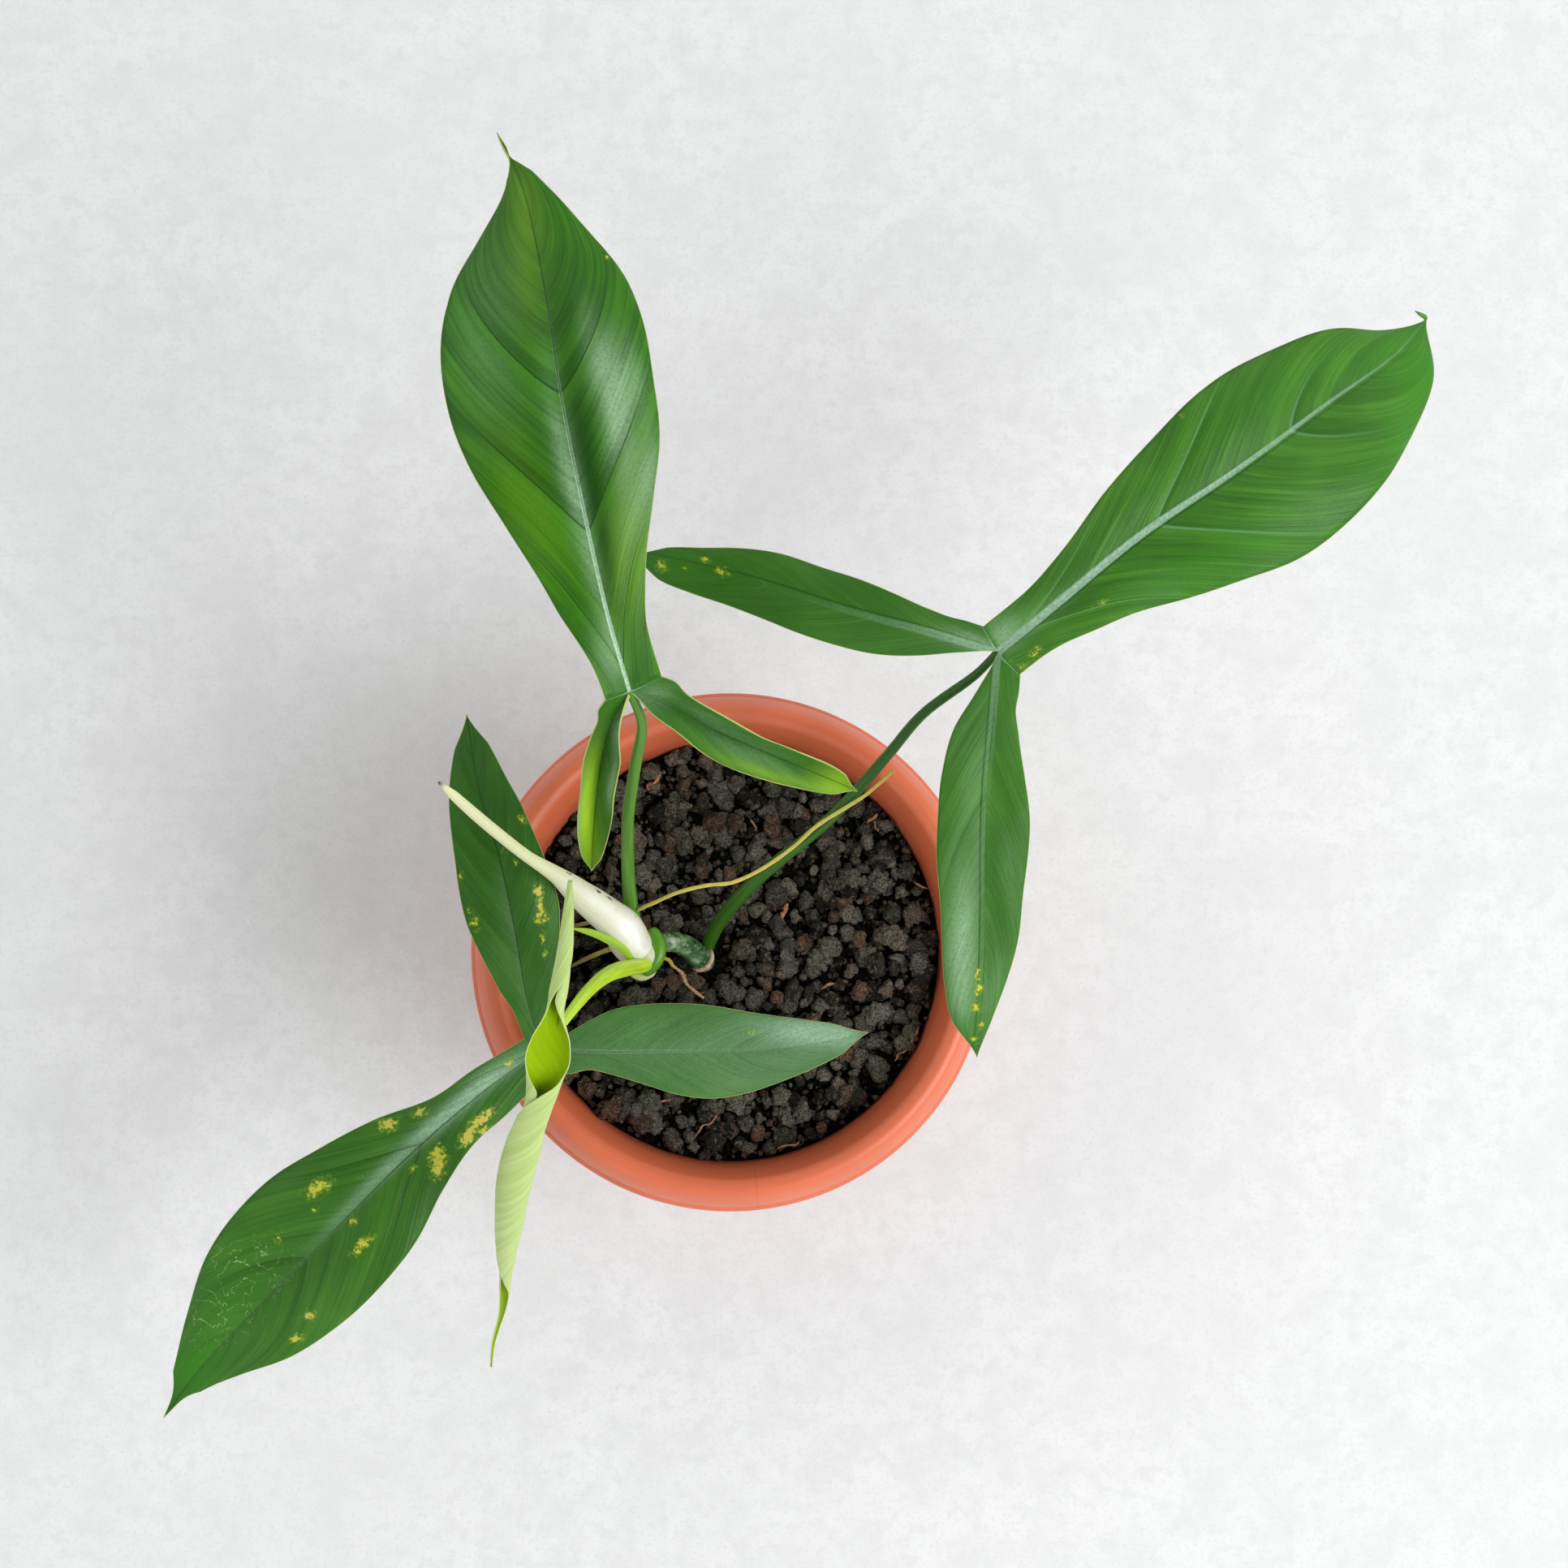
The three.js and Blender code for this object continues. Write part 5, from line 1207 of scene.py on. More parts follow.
FRONT_LEAF = {
    "left_notch": [-59, -42, 160],
    "right_notch": [-69.5, -30.4, 160.5],
    "root_rise": 0.6,
    "lobes": {
        "middle": {
            "midrib": [[-63.7, -34.1, 158.4], [-83.2, -48.3, 163], [-108.3, -70.3, 164], [-134.8, -96.8, 159],
                       [-157.8, -119.5, 150], [-181, -144, 135.5], [-192.3, -158.8, 125]],
            "left": [9, 11, 11.5, 16, 22, 24, 23.4, 20, 12, 5, 0],
            "right": [8, 8, 9, 16.4, 22.4, 27, 27, 23, 15.5, 6.4, 0],
            "fold": [0.32, 0.32], "arch": -0.3, "wave": 2, "waves": 3.4, "phase": 4, "drip": 0.4,
            "painted_shade": 0, "banding": 0.85, "veining": 0.9,
            "pale": [0.3, 0.35, 0.3, 0.3, 0.3, 0.25, 0.15, 0.05, 0],
            "crease": [0.4, 0.6, 0.7, 0.7, 0.6, 0.6, 0.5, 0.4, 0.2],
            "spots": [(0.29, -0.78, 3.2, 2.4, 1), (0.235, -0.73, 2.6, 1.8, 0.95),
                (0.06, -0.33, 1.8, 1.4, 0.8), (0.165, 0.62, 7, 2, 1), (0.17, 0.92, 2.4, 1.4, 0.9),
                (0.205, 0.75, 3, 2, 1), (0.26, 0.4, 3.4, 2.2, 1), (0.275, 0.66, 4, 2.4, 1),
                (0.31, 0.25, 1.6, 1.2, 0.8), (0.45, -0.55, 5, 2.6, 1), (0.48, -0.35, 1.4, 1.1, 0.8),
                (0.385, -0.3, 0.9, 0.9, 0.75), (0.45, 0.1, 1.8, 1.4, 0.95), (0.465, 0.42, 5, 1.7, 1),
                (0.625, 0.62, 2.4, 1.6, 0.95), (0.675, 0.78, 2.6, 1.6, 0.95), (0.565, -0.4, 2.6, 1.4, 0.6)],
            "glow": [(0.9, -0.2, 20, 9, 0.85), (0.72, -0.5, 22, 12, 0.35)],
            "painted_sheen": [(0.09, -0.3, 14, 3.5, 0.7), (0.17, -0.2, 14, 3, 0.8), (0.25, -0.14, 15, 2.6, 0.7),
                (0.34, -0.09, 16, 2.2, 0.4), (0.45, -0.07, 16, 1.8, 0.25)],
            "trails": [(0.68, -0.4, 17, 9, 1), (0.74, -0.62, 13, 6, 0.9)],
            "deep": [(0.96, 0.2, 12, 6, 0.4), (0.3, 0.6, 34, 10, 0.15)],
        },
        "left": {
            "midrib": [[-63.7, -34.1, 158.4], [-40.1, -34.9, 161.5], [-14, -34.6, 162], [12.4, -34.1, 158.5],
                       [33, -31.3, 151.4], [46.3, -28.3, 145.5]],
            "left": [0, 7.5, 13.6, 15.6, 15.8, 15, 13, 11, 8.5, 5, 0],
            "right": [9, 5.4, 7.3, 10.7, 14.4, 15.8, 14.2, 11, 8, 4.8, 0],
            "fold": [0.16, 0.16], "arch": -0.2, "wave": 1.2, "waves": 2.2, "phase": 0, "drip": 0.1,
            "painted_shade": 0, "banding": 0.45, "veining": 0.2,
            "pale": [0.4, 0.5, 0.45, 0.3, 0.15],
            "crease": [0.3, 0.3, 0.3, 0.3, 0.1],
            "spots": [(0.285, 0.72, 1.8, 1.2, 0.4), (0.63, 0.45, 4, 1.2, 0.5)],
            "painted_sheen": [(0.5, 0, 60, 16, 0.27), (0.76, 0.55, 13, 4, 0.7), (0.86, 0.4, 11, 5, 0.55),
                (0.93, 0.2, 7, 5, 0.4)],
        },
        "right": {
            "midrib": [[-63.7, -34.1, 158.4], [-68.5, -18.5, 162], [-72.4, 4, 166], [-77.7, 28.4, 167.4],
                       [-85, 52, 164.5], [-89.9, 78.3, 156]],
            "left": [8, 5.6, 8.7, 12.5, 15.2, 15.4, 14, 11.8, 9, 5.4, 0],
            "right": [0, 5, 10.6, 13.8, 15.9, 15, 13.3, 11.9, 9.2, 5.6, 0],
            "fold": [0.34, 0.34], "arch": -0.3, "wave": 1.4, "waves": 2.6, "phase": 3, "drip": 0.1,
            "painted_shade": 0.18, "banding": 0.8, "veining": 0.6,
            "pale": [0.1, 0.05, 0, 0, 0],
            "crease": [0.4, 0.7, 0.8, 0.7, 0.5],
            "spots": [(0.64, -0.88, 2, 1.6, 0.8), (0.445, -0.65, 2.6, 1.6, 1), (0.39, -0.62, 4, 1.4, 1),
                (0.37, -0.5, 1.4, 1, 0.9), (0.365, -0.72, 1.3, 1, 0.8), (0.315, -0.62, 1.7, 1.2, 0.9),
                (0.275, -0.66, 1.5, 1, 0.85), (0.53, 0.9, 1.6, 1.2, 0.8), (0.39, 0.83, 2.4, 1.8, 0.9),
                (0.435, 0.86, 1.6, 1, 0.6), (0.535, -0.35, 1.4, 1, 0.6), (0.58, -0.12, 1, 0.9, 0.5)],
            "deep": [(0.7, 0, 26, 8, 0.3)],
        },
    },
    "rib_rise": -0.15,
    "veins": (-0.02, 0.29),
}
LEAVES = {"back": BACK_LEAF, "right": RIGHT_LEAF, "front": FRONT_LEAF}
# Kinds of lobe mark: spots, glow, painted sheen, trails and deep marks of painted shade
MARKS = ("spots", "glow", "painted_sheen", "trails", "deep")

# Hooked point at the tip of the right leaf
LEAF_POINT = {
    "route": [[231, 209, 184], [231.2, 210.2, 184.6], [229.6, 211, 185.2], [227.2, 212.2, 186]],
    "radii": [0.5, 0.75, 0.6, 0.15],
    "sides": 12, "rows": 30, "flat": 0.4,
}

# Mesh of a blade, and the share of each lobe over which it grows out of the blade's root
BLADE_COLUMNS = 20
BLADE_CROWDING = 1.35
LOBE_ROWS = {"middle": 110, "left": 80, "right": 80}
LOBE_BLEND = {"middle": 0.16, "left": 0.2, "right": 0.2}

# Blade thickness, the midrib below it and the low bank along the midrib on top, in millimetres
BLADE_HALF_THICKNESS = 0.22
RIB_DEPTH = 0.9
RIB_REACH = 1.9
BANK_REACH = 1.2

# Side veins: how far they sweep forward, how they bend, and the half width at which their relief is full
VEIN_SWEEP = 0.25
VEIN_BEND = 1.3
VEIN_ROOM = 22

# Step from lobe to lobe in the noise of a finish
LOBE_SEED = 1.7


def lobe_grid(lobe, rows, across):
    """Points of one lobe at even steps of s from 0 to 1 and at the given places across, with its widths."""
    curve = Route(lobe["midrib"])
    s = np.linspace(0, 1, rows + 1)
    centre, left, up = curve.sections(s)
    side = (across <= 0).astype(int)[None, :]
    reach = np.abs(across)[None, :]
    narrowing = np.where(s > 0.9, 1 - lobe["drip"] * np.sin(np.pi * (s - 0.9) * 10), 1)
    if "neck" in lobe:
        place, depth, breadth = lobe["neck"]
        narrowing = narrowing * (1 - depth * np.exp(-((s - place) / breadth) ** 2))
    widths = [np.maximum(along(lobe[name], s), 0) * narrowing for name in ("left", "right")]
    width = np.where(side == 0, widths[0][:, None], widths[1][:, None])
    fold = np.array(lobe["fold"])[side]
    swing = 2 * np.pi * (lobe["waves"] * s[:, None] + 0.37 * side) + lobe["phase"]
    wave = lobe["wave"] * np.sin(swing) * reach ** 2 * np.sin(np.pi * s)[:, None]
    height = width * (fold * reach + lobe["arch"] * reach ** 2) + wave
    offset = np.where(side == 0, 1, -1) * width * reach
    points = centre[:, None] + left[:, None] * offset[..., None] + up[:, None] * height[..., None]
    return points, centre, up, s, width, curve.length


def vein_place(s, reach):
    return s - VEIN_SWEEP * reach ** VEIN_BEND


def relief(s, reach, width, veins):
    """Grooves at the side veins and gentle swells between them."""
    turn = (vein_place(s, reach) - veins[0]) / veins[1]
    apart = np.abs(turn - np.round(turn))
    groove = -0.6 * np.exp(-(apart / 0.035) ** 2)
    swell = 0.5 * (1 - np.cos(2 * np.pi * turn)) - 0.5
    room = np.clip(width / VEIN_ROOM, 0, 1)
    fine = 0.12 * np.sin(2 * np.pi * turn * 7)
    spread = np.sin(np.pi * np.clip(reach, 0, 1)) ** 0.8
    return (groove + 0.8 * swell + fine) * spread * room * smooth(s / 0.2) * smooth((0.9 - s) / 0.25)


def lobe_marks(lobe, s, across, length, width):
    """Strength of each kind of mark over a lobe.

    A mark gives s, its place across from 1 at the left edge to -1 at the right one, its length and breadth
    in millimetres, and its strength.
    """
    marks = {}
    for kind in MARKS:
        marks[kind] = np.zeros(width.shape)
        for at, place, long, broad, strength in lobe.get(kind, ()):
            distance = ((s - at) * length / long) ** 2 + ((across - place) * width / broad) ** 2
            marks[kind] += strength * np.exp(-distance)
    return {kind: np.clip(values, 0, 1) for kind, values in marks.items()}


def blade(leaf):
    """Three-lobed sheet with a thickened midrib, and the fields that its finish reads."""
    columns = BLADE_COLUMNS
    numbers = np.arange(2 * columns + 1)
    count = len(numbers)
    steps = 1 - numbers / columns
    across = np.sign(steps) * np.abs(steps) ** BLADE_CROWDING
    reach, side = np.abs(across), np.where(across >= 0, 1, -1)
    middle = leaf["lobes"]["middle"]
    junction = np.array(middle["midrib"][0], float)
    notches = np.where(across[:, None] > 0, leaf["left_notch"], leaf["right_notch"])
    root = junction + (notches - junction) * reach[:, None]
    root[:, 2] += leaf["root_rise"] * np.sin(np.pi * reach)
    root_width = np.linalg.norm(notches - junction, axis=1)
    sheet = {
        "points": [root],
        "vein": [np.stack([vein_place(0, reach), reach, 0 * reach], -1)],
        "trim": [np.stack([side * reach * root_width, (1 - reach) * root_width, 0 * reach], -1)],
        "tone": [np.zeros((count, 3))],
        "shade": [np.tile([middle["painted_shade"], middle["pale"][0], middle["crease"][0]], (count, 1))],
        "veining": [np.tile([0.0, middle["banding"], 0.0], (count, 1))],
        "above": [BLADE_HALF_THICKNESS + 0 * reach],
        "under": [BLADE_HALF_THICKNESS + RIB_DEPTH * np.exp(-(reach * root_width / RIB_REACH) ** 2)],
    }
    faces = []
    # A side lobe starts on its own half of the root row, which it covers from the midrib out and back
    first_rows = {
        "middle": numbers,
        "left": np.where(numbers <= columns, columns, 2 * columns - numbers),
        "right": np.where(numbers >= columns, columns, 2 * columns - numbers),
    }
    for name, lobe in leaf["lobes"].items():
        rows = LOBE_ROWS[name]
        grid, centre, up, s, width, length = lobe_grid(lobe, rows, across)
        first = first_rows[name]
        share = smooth(s[:, None] / LOBE_BLEND[name]) * np.ones(count)
        share[:, (first == columns) & (numbers != columns)] = 1
        shift = (centre - centre[0])[:, None] * (1 - share)[..., None]
        grid = root[first][None] * (1 - share)[..., None] + shift + grid * share[..., None]
        wide = width * share + root_width[first][None] * (1 - share)
        grid += up[:, None] * relief(s[:, None], reach[None], wide, leaf["veins"])[..., None]
        rib = np.exp(-(reach[None] * wide / RIB_REACH) ** 2) * (1 - 0.75 * s[:, None])
        bank = np.exp(-(reach[None] * wide / BANK_REACH) ** 2) * (1 - 0.6 * s[:, None])
        marks = lobe_marks(lobe, s[:, None], across[None], length, wide)
        walk = np.broadcast_to(s[:, None], wide.shape)
        spread = np.broadcast_to(reach[None], wide.shape)
        lobe_seed = LOBE_SEED * len(sheet["points"])
        values = {
            "points": grid,
            "vein": np.stack([vein_place(walk, spread), spread, walk], -1),
            "trim": np.stack([side * spread * wide, (1 - spread) * wide, marks["spots"]], -1),
            "tone": np.stack([marks["glow"], marks["painted_sheen"], marks["trails"]], -1),
            "shade": np.stack([np.clip(marks["deep"] + lobe["painted_shade"], 0, 1), along(lobe["pale"], walk),
                               along(lobe["crease"], walk)], -1),
            "veining": np.stack([0 * wide + lobe["veining"], 0 * wide + lobe["banding"],
                                 0 * wide + lobe_seed], -1),
            "above": BLADE_HALF_THICKNESS + leaf["rib_rise"] * bank,
            "under": BLADE_HALF_THICKNESS + RIB_DEPTH * rib,
        }
        tip_values = {field: field_values[-1:, columns] for field, field_values in values.items()}
        tip_values |= {"points": centre[-1:], "vein": np.array([[1.0, 0.0, 1.0]]), "trim": np.zeros((1, 3)),
                       "above": np.array([BLADE_HALF_THICKNESS]), "under": np.array([BLADE_HALF_THICKNESS])}
        offset = sum(len(part) for part in sheet["points"])
        for field, parts in sheet.items():
            inner = values[field][1:-1]
            parts += [inner.reshape(-1, *inner.shape[2:]), tip_values[field]]
        courses = [first.tolist()]
        courses += [list(range(offset + r * count, offset + (r + 1) * count)) for r in range(rows - 1)]
        courses.append([offset + (rows - 1) * count] * count)
        for near, far in zip(courses, courses[1:]):
            for k in range(count - 1):
                corners = list(dict.fromkeys([near[k], near[k + 1], far[k + 1], far[k]]))
                if len(corners) > 2:
                    faces.append(corners)
    sheet = {field: np.concatenate(parts) for field, parts in sheet.items()}
    return thicken(sheet.pop("points"), faces, sheet.pop("above"), sheet.pop("under"), **sheet)


# Tints and fine settings of the upper leaf faces, with the tints of their painted sheen and painted shade

LEAF_LOOKS = {
    "back": {
        "seed": 1.0, "roughness": 0.3, "deep": (0.009, 0.072, 0.001), "middle": (0.024, 0.13, 0.002),
        "bright": (0.055, 0.235, 0.004), "shadow": (0.005, 0.048, 0.001), "glow": (0.36, 0.62, 0.02),
        "painted_sheen": (0.27, 0.44, 0.25), "vein": (0.008, 0.055, 0.002), "line": 0.8,
        "rib": (0.5, 0.74, 0.5), "rib_width": 0.85, "crease_shift": 0.0, "scar": (0.5, 0.5, 0.12),
        "margin": 0.28,
    },
    "right": {
        "seed": 21.0, "roughness": 0.36, "deep": (0.022, 0.105, 0.007), "middle": (0.04, 0.158, 0.012),
        "bright": (0.08, 0.26, 0.02), "shadow": (0.011, 0.065, 0.004), "glow": (0.04, 0.27, 0.003),
        "painted_sheen": (0.28, 0.47, 0.27), "vein": (0.13, 0.32, 0.13), "line": 0.7,
        "rib": (0.31, 0.5, 0.34), "rib_width": 1.8, "crease_shift": 1.7, "scar": (0.6, 0.52, 0.03),
        "margin": 0.25,
    },
    "front": {
        "seed": 41.0, "roughness": 0.36, "deep": (0.016, 0.088, 0.005), "middle": (0.031, 0.13, 0.01),
        "bright": (0.06, 0.2, 0.016), "shadow": (0.008, 0.05, 0.001), "glow": (0.03, 0.2, 0.001),
        "painted_sheen": (0.28, 0.45, 0.3), "vein": (0.012, 0.065, 0.005), "line": 0.65,
        "rib": (0.22, 0.36, 0.22), "rib_width": 0.9, "crease_shift": 0.0, "scar": (0.54, 0.46, 0.08),
        "margin": 0.25,
    },
}


# Settings that a user would change

COLOUR = {"subtype": "COLOR", "size": 3, "min": 0, "max": 1}


class PotSettings(bpy.types.PropertyGroup):
    colour: FloatVectorProperty(
        name="Colour", description="Colour of the pot's plastic", default=(0.72, 0.16, 0.068), **COLOUR)


class SoilSettings(bpy.types.PropertyGroup):
    colour: FloatVectorProperty(
        name="Grit", description="Colour of most grains", default=(0.088, 0.086, 0.067), **COLOUR)
    warm_colour: FloatVectorProperty(
        name="Warm grains", description="Colour of the brown grains", default=(0.25, 0.145, 0.088), **COLOUR)
    pale_colour: FloatVectorProperty(
        name="Pale grains", description="Colour of the dusty grains", default=(0.36, 0.31, 0.23), **COLOUR)
    chip_colour: FloatVectorProperty(
        name="Bark", description="Colour of the bark chips", default=(0.5, 0.27, 0.13), **COLOUR)
    coarse_count: IntProperty(
        name="Coarse grains", description="Number of coarse grains", default=520, min=0, max=700)
    fine_count: IntProperty(
        name="Fine grains", description="Number of fine grains", default=2300, min=0, max=2400)
    coarse_size: FloatProperty(
        name="Coarse grain size", description="Radius of a middling coarse grain", unit="LENGTH",
        default=0.0027, min=0.001, max=0.005)


class StalkSettings(bpy.types.PropertyGroup):
    back_colour: FloatVectorProperty(
        name="Back stalk", description="Colour of the back leaf's stalk",
        default=(0.085, 0.24, 0.022), **COLOUR)
    dark_colour: FloatVectorProperty(
        name="Other stalks", description="Colour of the right and front stalks",
        default=(0.024, 0.105, 0.004), **COLOUR)
    young_colour: FloatVectorProperty(
        name="Young stalk", description="Colour of the new leaf's stalk",
        default=(0.46, 0.7, 0.035), **COLOUR)
    stem_colour: FloatVectorProperty(
        name="Stem", description="Colour of the main stem", default=(0.08, 0.19, 0.07), **COLOUR)
    sheath_colour: FloatVectorProperty(
        name="Sheath", description="Colour of the ivory sheath", default=(0.61, 0.63, 0.42), **COLOUR)
    root_colour: FloatVectorProperty(
        name="Roots", description="Colour of the aerial roots", default=(0.6, 0.52, 0.11), **COLOUR)


class LeafSettings(bpy.types.PropertyGroup):
    margin_colour: FloatVectorProperty(
        name="Margin", description="Colour of the blades' thin margin", default=(0.5, 0.55, 0.16), **COLOUR)
    under_colour: FloatVectorProperty(
        name="Underside", description="Colour of the blades' undersides", default=(0.1, 0.24, 0.05), **COLOUR)
    spot_colour: FloatVectorProperty(
        name="Spots", description="Colour of the yellow spots", default=(0.5, 0.5, 0.03), **COLOUR)
    spot_halo_colour: FloatVectorProperty(
        name="Spot halo", description="Colour round the yellow spots", default=(0.2, 0.34, 0.02), **COLOUR)
    new_outer_colour: FloatVectorProperty(
        name="New leaf, outside", description="Colour of its outer face",
        default=(0.43, 0.58, 0.16), **COLOUR)
    new_inner_colour: FloatVectorProperty(
        name="New leaf, inside", description="Colour of its inner face",
        default=(0.27, 0.44, 0.001), **COLOUR)


class StageSettings(bpy.types.PropertyGroup):
    floor_colour: FloatVectorProperty(
        name="Floor", description="Colour of the floor", default=(0.83, 0.845, 0.85), **COLOUR)
    sky: FloatProperty(
        name="Sky light", description="Strength of the even light from all sides", default=0.95, min=0, max=5)
    window_power: FloatProperty(
        name="Window light", description="Power of the soft light from the right", unit="POWER",
        default=36, min=0, max=200)
    window_size: FloatProperty(
        name="Window size", description="Side of the soft light", unit="LENGTH", default=1.5, min=0.05, max=5)


SETTINGS = {
    "plant_pot": PotSettings,
    "plant_soil": SoilSettings,
    "plant_stalks": StalkSettings,
    "plant_leaves": LeafSettings,
    "plant_stage": StageSettings,
}


# Operators

class PLANT_OT_pot(bpy.types.Operator):
    """Adds the plastic pot with its rolled rim and drain holes"""
    bl_idname = "plant.pot"
    bl_label = "Pot"

    def execute(self, context):
        finish = terracotta_plastic(context.scene.plant_pot)
        pot = piece("pot_shell", pot_shape(), [finish], ["pot"])
        cut_away(pot, *drain_holes())
        pot.data.set_sharp_from_angle(angle=math.radians(40))
        return {"FINISHED"}


class PLANT_OT_soil(bpy.types.Operator):
    """Adds the soil with its grains and bark chips"""
    bl_idname = "plant.soil"
    bl_label = "Soil"

    def execute(self, context):
        settings = context.scene.plant_soil
        random = np.random.default_rng(71)
        piece("soil_bed", soil_bed_shape(random), [earth_with_painted_shade(settings)], ["soil"])
        grit = volcanic_grit(settings)
        top_radius = wall_radius(SOIL_LEVEL) - POT_WALL
        coarse = settings.coarse_size / MM
        places = scatter(random, settings.coarse_count, top_radius - 1.2 * coarse, 1.1 * coarse)
        sizes = coarse * random.uniform(0.72, 1.2, len(places)) ** 2
        heights = SOIL_LEVEL - 0.3 + random.uniform(-1.5, 1.5, len(places))
        grains = np.column_stack([places, heights])
        by_size = np.argsort(-sizes)
        large, medium = by_size[:LARGE_GRAINS], by_size[LARGE_GRAINS:]
        piece("soil_large_grit", grit_shape(grains[large], sizes[large], 3, 0.36, random), [grit])
        piece("soil_coarse_grit", grit_shape(grains[medium], sizes[medium], 2, 0.38, random), [grit])
        # Fine grains lie low between the coarse ones; their random tones are capped lower as painted shade in
        # the gaps
        places = scatter(random, settings.fine_count, top_radius - 1.4, 0.95)
        sizes = random.uniform(0.6, 1.45, len(places))
        heights = SOIL_LEVEL - 2.3 + random.uniform(-1.0, 1.2, len(places))
        small = grit_shape(np.column_stack([places, heights]), sizes, 1, 0.42, random, 0.55)
        piece("soil_fine_grit", small, [grit])
        chips = [chip_shape(*chip, random) for chip in CHIPS]
        piece("soil_chips", sum(chips[1:], chips[0]), [bark_chip(settings)])
        return {"FINISHED"}


class PLANT_OT_stalks(bpy.types.Operator):
    """Adds the main stem, the leaf stalks and the cup that clasps the crown"""
    bl_idname = "plant.stalks"
    bl_label = "Stem and stalks"

    def execute(self, context):
        settings = context.scene.plant_stalks
        piece("main_stem", tube(**STEM), [stem_skin(settings)], ["stem"])
        piece("stem_scar_ring", scar_ring(), [leaf_scar()])
        back = stalk_skin("back stalk", settings.back_colour, edge=(0.16, 0.3, 0.07),
                          foot=(0.07, 0.27, 0.005), foot_length=14.0)
        dark = stalk_skin("dark stalk", settings.dark_colour, edge=(0.06, 0.18, 0.015),
                          foot=(0.05, 0.2, 0.003), foot_length=60.0)
        young = stalk_skin("young stalk", settings.young_colour, edge=(0.56, 0.78, 0.1),
                           foot=(0.5, 0.72, 0.01), foot_length=8.0)
        piece("back_stalk", tube(**BACK_STALK), [back], ["leaf_back_stalk"])
        clasp = piece("clasping_cup", cup_shape(), [cup_skin()])
        cut_away(clasp, tube(**CUP_ROOM))
        piece("right_stalk", tube(**RIGHT_STALK), [dark], ["leaf_right_stalk"])
        piece("front_stalk", tube(**FRONT_STALK), [dark], ["leaf_front_stalk"])
        piece("new_stalk", tube(**NEW_STALK), [young], ["leaf_new_stalk"])
        return {"FINISHED"}


class PLANT_OT_sheaths(bpy.types.Operator):
    """Adds the ivory sheath and the inner sheath beside it"""
    bl_idname = "plant.sheaths"
    bl_label = "Sheaths"

    def execute(self, context):
        settings = context.scene.plant_stalks
        ivory = ivory_sheath(settings)
        piece("ivory_sheath", scroll(SHEATH), [ivory, ivory], ["cataphyll"])
        base = stalk_skin("sheath base", settings.sheath_colour, edge=(0.76, 0.78, 0.62),
                          foot=(0.5, 0.64, 0.16), foot_length=5.0, roughness=0.38)
        piece("sheath_base", tube(**SHEATH_BASE), [base])
        lip = stalk_skin("foot lip", (0.62, 0.66, 0.28), edge=(0.74, 0.74, 0.42),
                         foot=(0.62, 0.66, 0.3), foot_length=1.0)
        piece("foot_lip", tube(**FOOT_LIP), [lip])
        bud = stalk_skin("inner sheath", (0.3, 0.5, 0.03), edge=(0.45, 0.62, 0.08),
                         foot=(0.3, 0.5, 0.02), foot_length=4.0)
        piece("inner_bud", tube(**INNER_BUD), [bud], ["inner_sheath"])
        return {"FINISHED"}


class PLANT_OT_blades(bpy.types.Operator):
    """Adds the three open three-lobed blades"""
    bl_idname = "plant.blades"
    bl_label = "Blades"

    def execute(self, context):
        settings = context.scene.plant_leaves
        under = leaf_under(settings)
        for name, leaf in LEAVES.items():
            upper = leaf_upper(f"{name} leaf", settings, LEAF_LOOKS[name], leaf["veins"])
            piece(f"{name}_leaf", blade(leaf), [upper, under], [f"leaf_{name}_blade"])
        point = stalk_skin("leaf point", (0.08, 0.24, 0.03), edge=(0.12, 0.3, 0.05),
                           foot=(0.07, 0.22, 0.02), foot_length=2.0)
        piece("right_leaf_point", tube(**LEAF_POINT), [point])
        return {"FINISHED"}


class PLANT_OT_new_leaf(bpy.types.Operator):
    """Adds the new leaf, which is still rolled up"""
    bl_idname = "plant.new_leaf"
    bl_label = "New leaf"

    def execute(self, context):
        settings = context.scene.plant_leaves
        outside = rolled_leaf("new leaf outside", settings.new_outer_colour, pale=(0.52, 0.67, 0.25),
                              streak=0.35, roughness=0.42, specular=0.45)
        inside = rolled_leaf("new leaf inside", settings.new_inner_colour, pale=(0.31, 0.49, 0.003),
                             streak=0.14, roughness=0.6, specular=0.06)
        piece("new_leaf", scroll(NEW_LEAF), [inside, outside], ["leaf_new_blade"])
        return {"FINISHED"}


class PLANT_OT_roots(bpy.types.Operator):
    """Adds the aerial roots"""
    bl_idname = "plant.roots"
    bl_label = "Roots"

    def execute(self, context):
        yellow = context.scene.plant_stalks.root_colour
        long_skin = root_skin("long root", yellow, shaded(yellow, 1.05), 0.6)
        olive = root_skin("short root", (0.45, 0.46, 0.1), (0.3, 0.26, 0.08), 0.6)
        dry = root_skin("dry root", (0.5, 0.42, 0.06), (0.58, 0.36, 0.22), 0.22, 0.75)
        piece("long_root", tube(**LONG_ROOT), [long_skin], ["root_long"])
        piece("left_root", tube(**LEFT_ROOT), [olive], ["root_left"])
        piece("small_root", tube(**SMALL_ROOT), [olive], ["root_small"])
        piece("dry_root", tube(**DRY_ROOT), [dry], ["root_brown"])
        return {"FINISHED"}


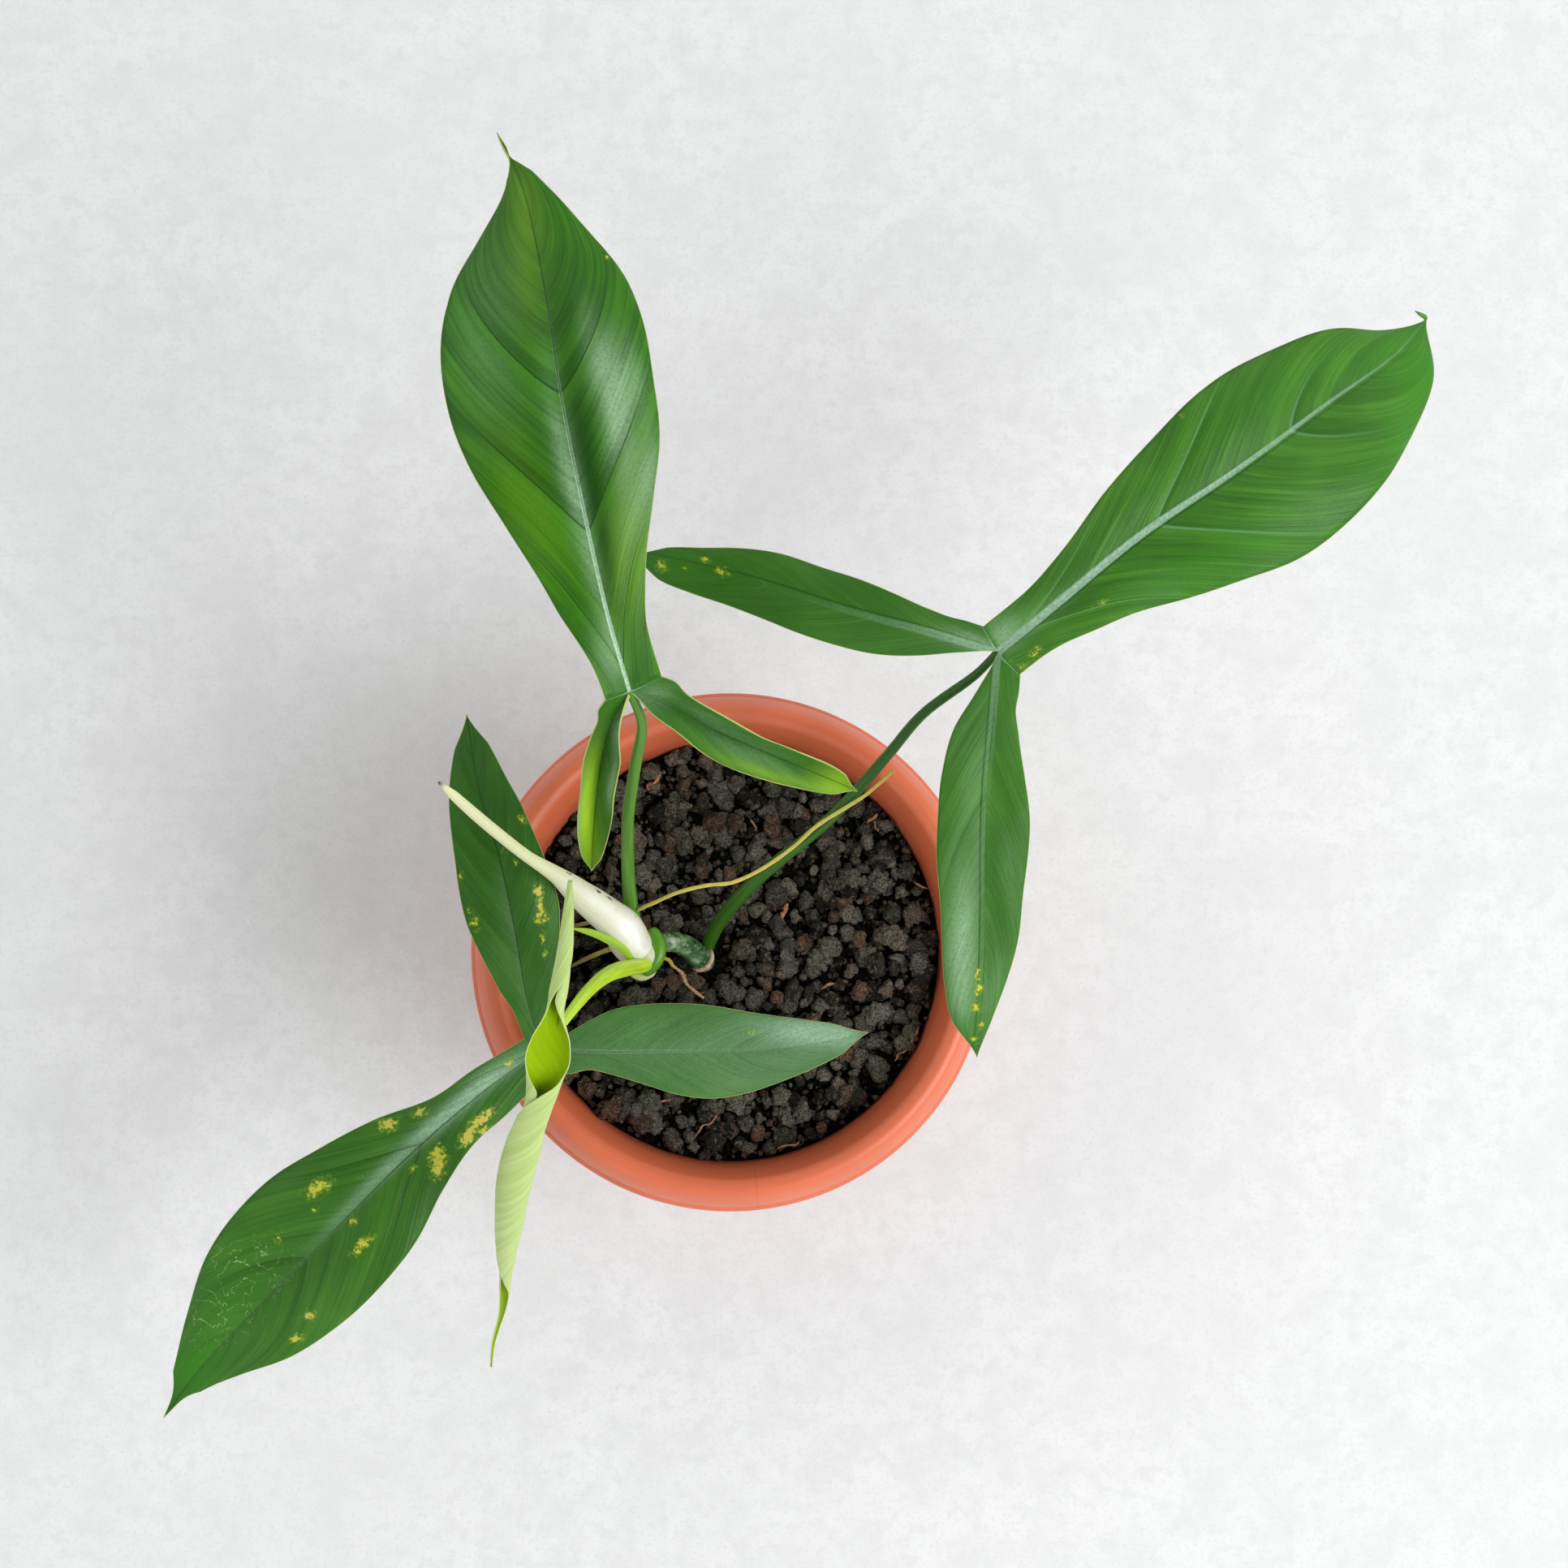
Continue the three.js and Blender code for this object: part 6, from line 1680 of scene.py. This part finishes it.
class PLANT_OT_stage(bpy.types.Operator):
    """Adds the floor, the lights and the camera"""
    bl_idname = "plant.stage"
    bl_label = "Stage"

    def execute(self, context):
        settings = context.scene.plant_stage
        side = np.linspace(-FLOOR_HALF_SIDE, FLOOR_HALF_SIDE, FLOOR_STEPS)
        x, y = np.meshgrid(side, side)
        level = np.stack([x.ravel(), y.ravel(), 0 * x.ravel()], -1)
        ground = Shape(level, grid_faces(FLOOR_STEPS, FLOOR_STEPS))
        floor = bpy.data.objects.new("floor", mesh_of("floor", ground))
        floor.data.materials.append(plaster_floor(settings))
        context.scene.collection.objects.link(floor)
        self.window(context, settings)
        world = bpy.data.worlds.new("studio")
        world.use_nodes = True
        context.scene.world = world
        self.sky(world.node_tree, settings.sky)
        context.scene.view_settings.view_transform = "Standard"
        self.camera(context)
        return {"FINISHED"}

    def sky(self, tree, strength):
        """Even light from all sides that is weaker straight above."""
        direction = tree.nodes.new("ShaderNodeTexCoord").outputs["Generated"]
        height = tree.nodes.new("ShaderNodeSeparateXYZ")
        tree.links.new(direction, height.inputs[0])
        fade = tree.nodes.new("ShaderNodeMapRange")
        fade.interpolation_type = "SMOOTHSTEP"
        for key, value in enumerate((*SKY_FADE, strength, SKY_OVERHEAD * strength), 1):
            fade.inputs[key].default_value = value
        tree.links.new(height.outputs["Z"], fade.inputs[0])
        tree.links.new(fade.outputs[0], tree.nodes["Background"].inputs["Strength"])
        tree.nodes["Background"].inputs["Color"].default_value = (1, 1, 1, 1)

    def window(self, context, settings):
        data = bpy.data.lights.new("window", "AREA")
        data.shape = "SQUARE"
        data.size = settings.window_size
        data.energy = settings.window_power
        light = bpy.data.objects.new("window", data)
        light.location = WINDOW_PLACE
        light.rotation_euler = (-Vector(light.location)).to_track_quat("-Z", "Y").to_euler()
        context.scene.collection.objects.link(light)

    def camera(self, context):
        data = bpy.data.cameras.new("camera")
        data.sensor_fit = "HORIZONTAL"
        data.sensor_width = 36.0
        data.lens = CAMERA_LENS
        data.clip_start = 0.05
        camera = bpy.data.objects.new("camera", data)
        turn = Matrix([Vector(axis) for axis in CAMERA_AXES]).transposed().to_4x4()
        camera.matrix_world = Matrix.Translation(CAMERA_PLACE) @ turn
        context.scene.collection.objects.link(camera)
        context.scene.camera = camera


class PLANT_PT_pieces(bpy.types.Panel):
    """Buttons for the plant's pieces and their settings"""
    bl_idname = "PLANT_PT_pieces"
    bl_label = "Potted philodendron"
    bl_space_type = "VIEW_3D"
    bl_region_type = "UI"
    bl_category = "Plant"

    def draw(self, context):
        for operator in OPERATORS:
            self.layout.operator(operator.bl_idname)
        for name, group in SETTINGS.items():
            box = self.layout.box()
            for setting in group.__annotations__:
                box.prop(getattr(context.scene, name), setting)


OPERATORS = (PLANT_OT_pot, PLANT_OT_soil, PLANT_OT_stalks, PLANT_OT_sheaths, PLANT_OT_roots, PLANT_OT_blades,
             PLANT_OT_new_leaf, PLANT_OT_stage)


def register():
    for group in (*SETTINGS.values(), *OPERATORS, PLANT_PT_pieces):
        bpy.utils.register_class(group)
    for name, group in SETTINGS.items():
        setattr(bpy.types.Scene, name, PointerProperty(type=group))


def unregister():
    for name in SETTINGS:
        delattr(bpy.types.Scene, name)
    for group in reversed((*SETTINGS.values(), *OPERATORS, PLANT_PT_pieces)):
        bpy.utils.unregister_class(group)


def main():
    register()
    bpy.ops.plant.pot()
    bpy.ops.plant.soil()
    bpy.ops.plant.stalks()
    bpy.ops.plant.sheaths()
    bpy.ops.plant.roots()
    bpy.ops.plant.blades()
    bpy.ops.plant.new_leaf()
    bpy.ops.plant.stage()


if __name__ == "__main__":
    main()
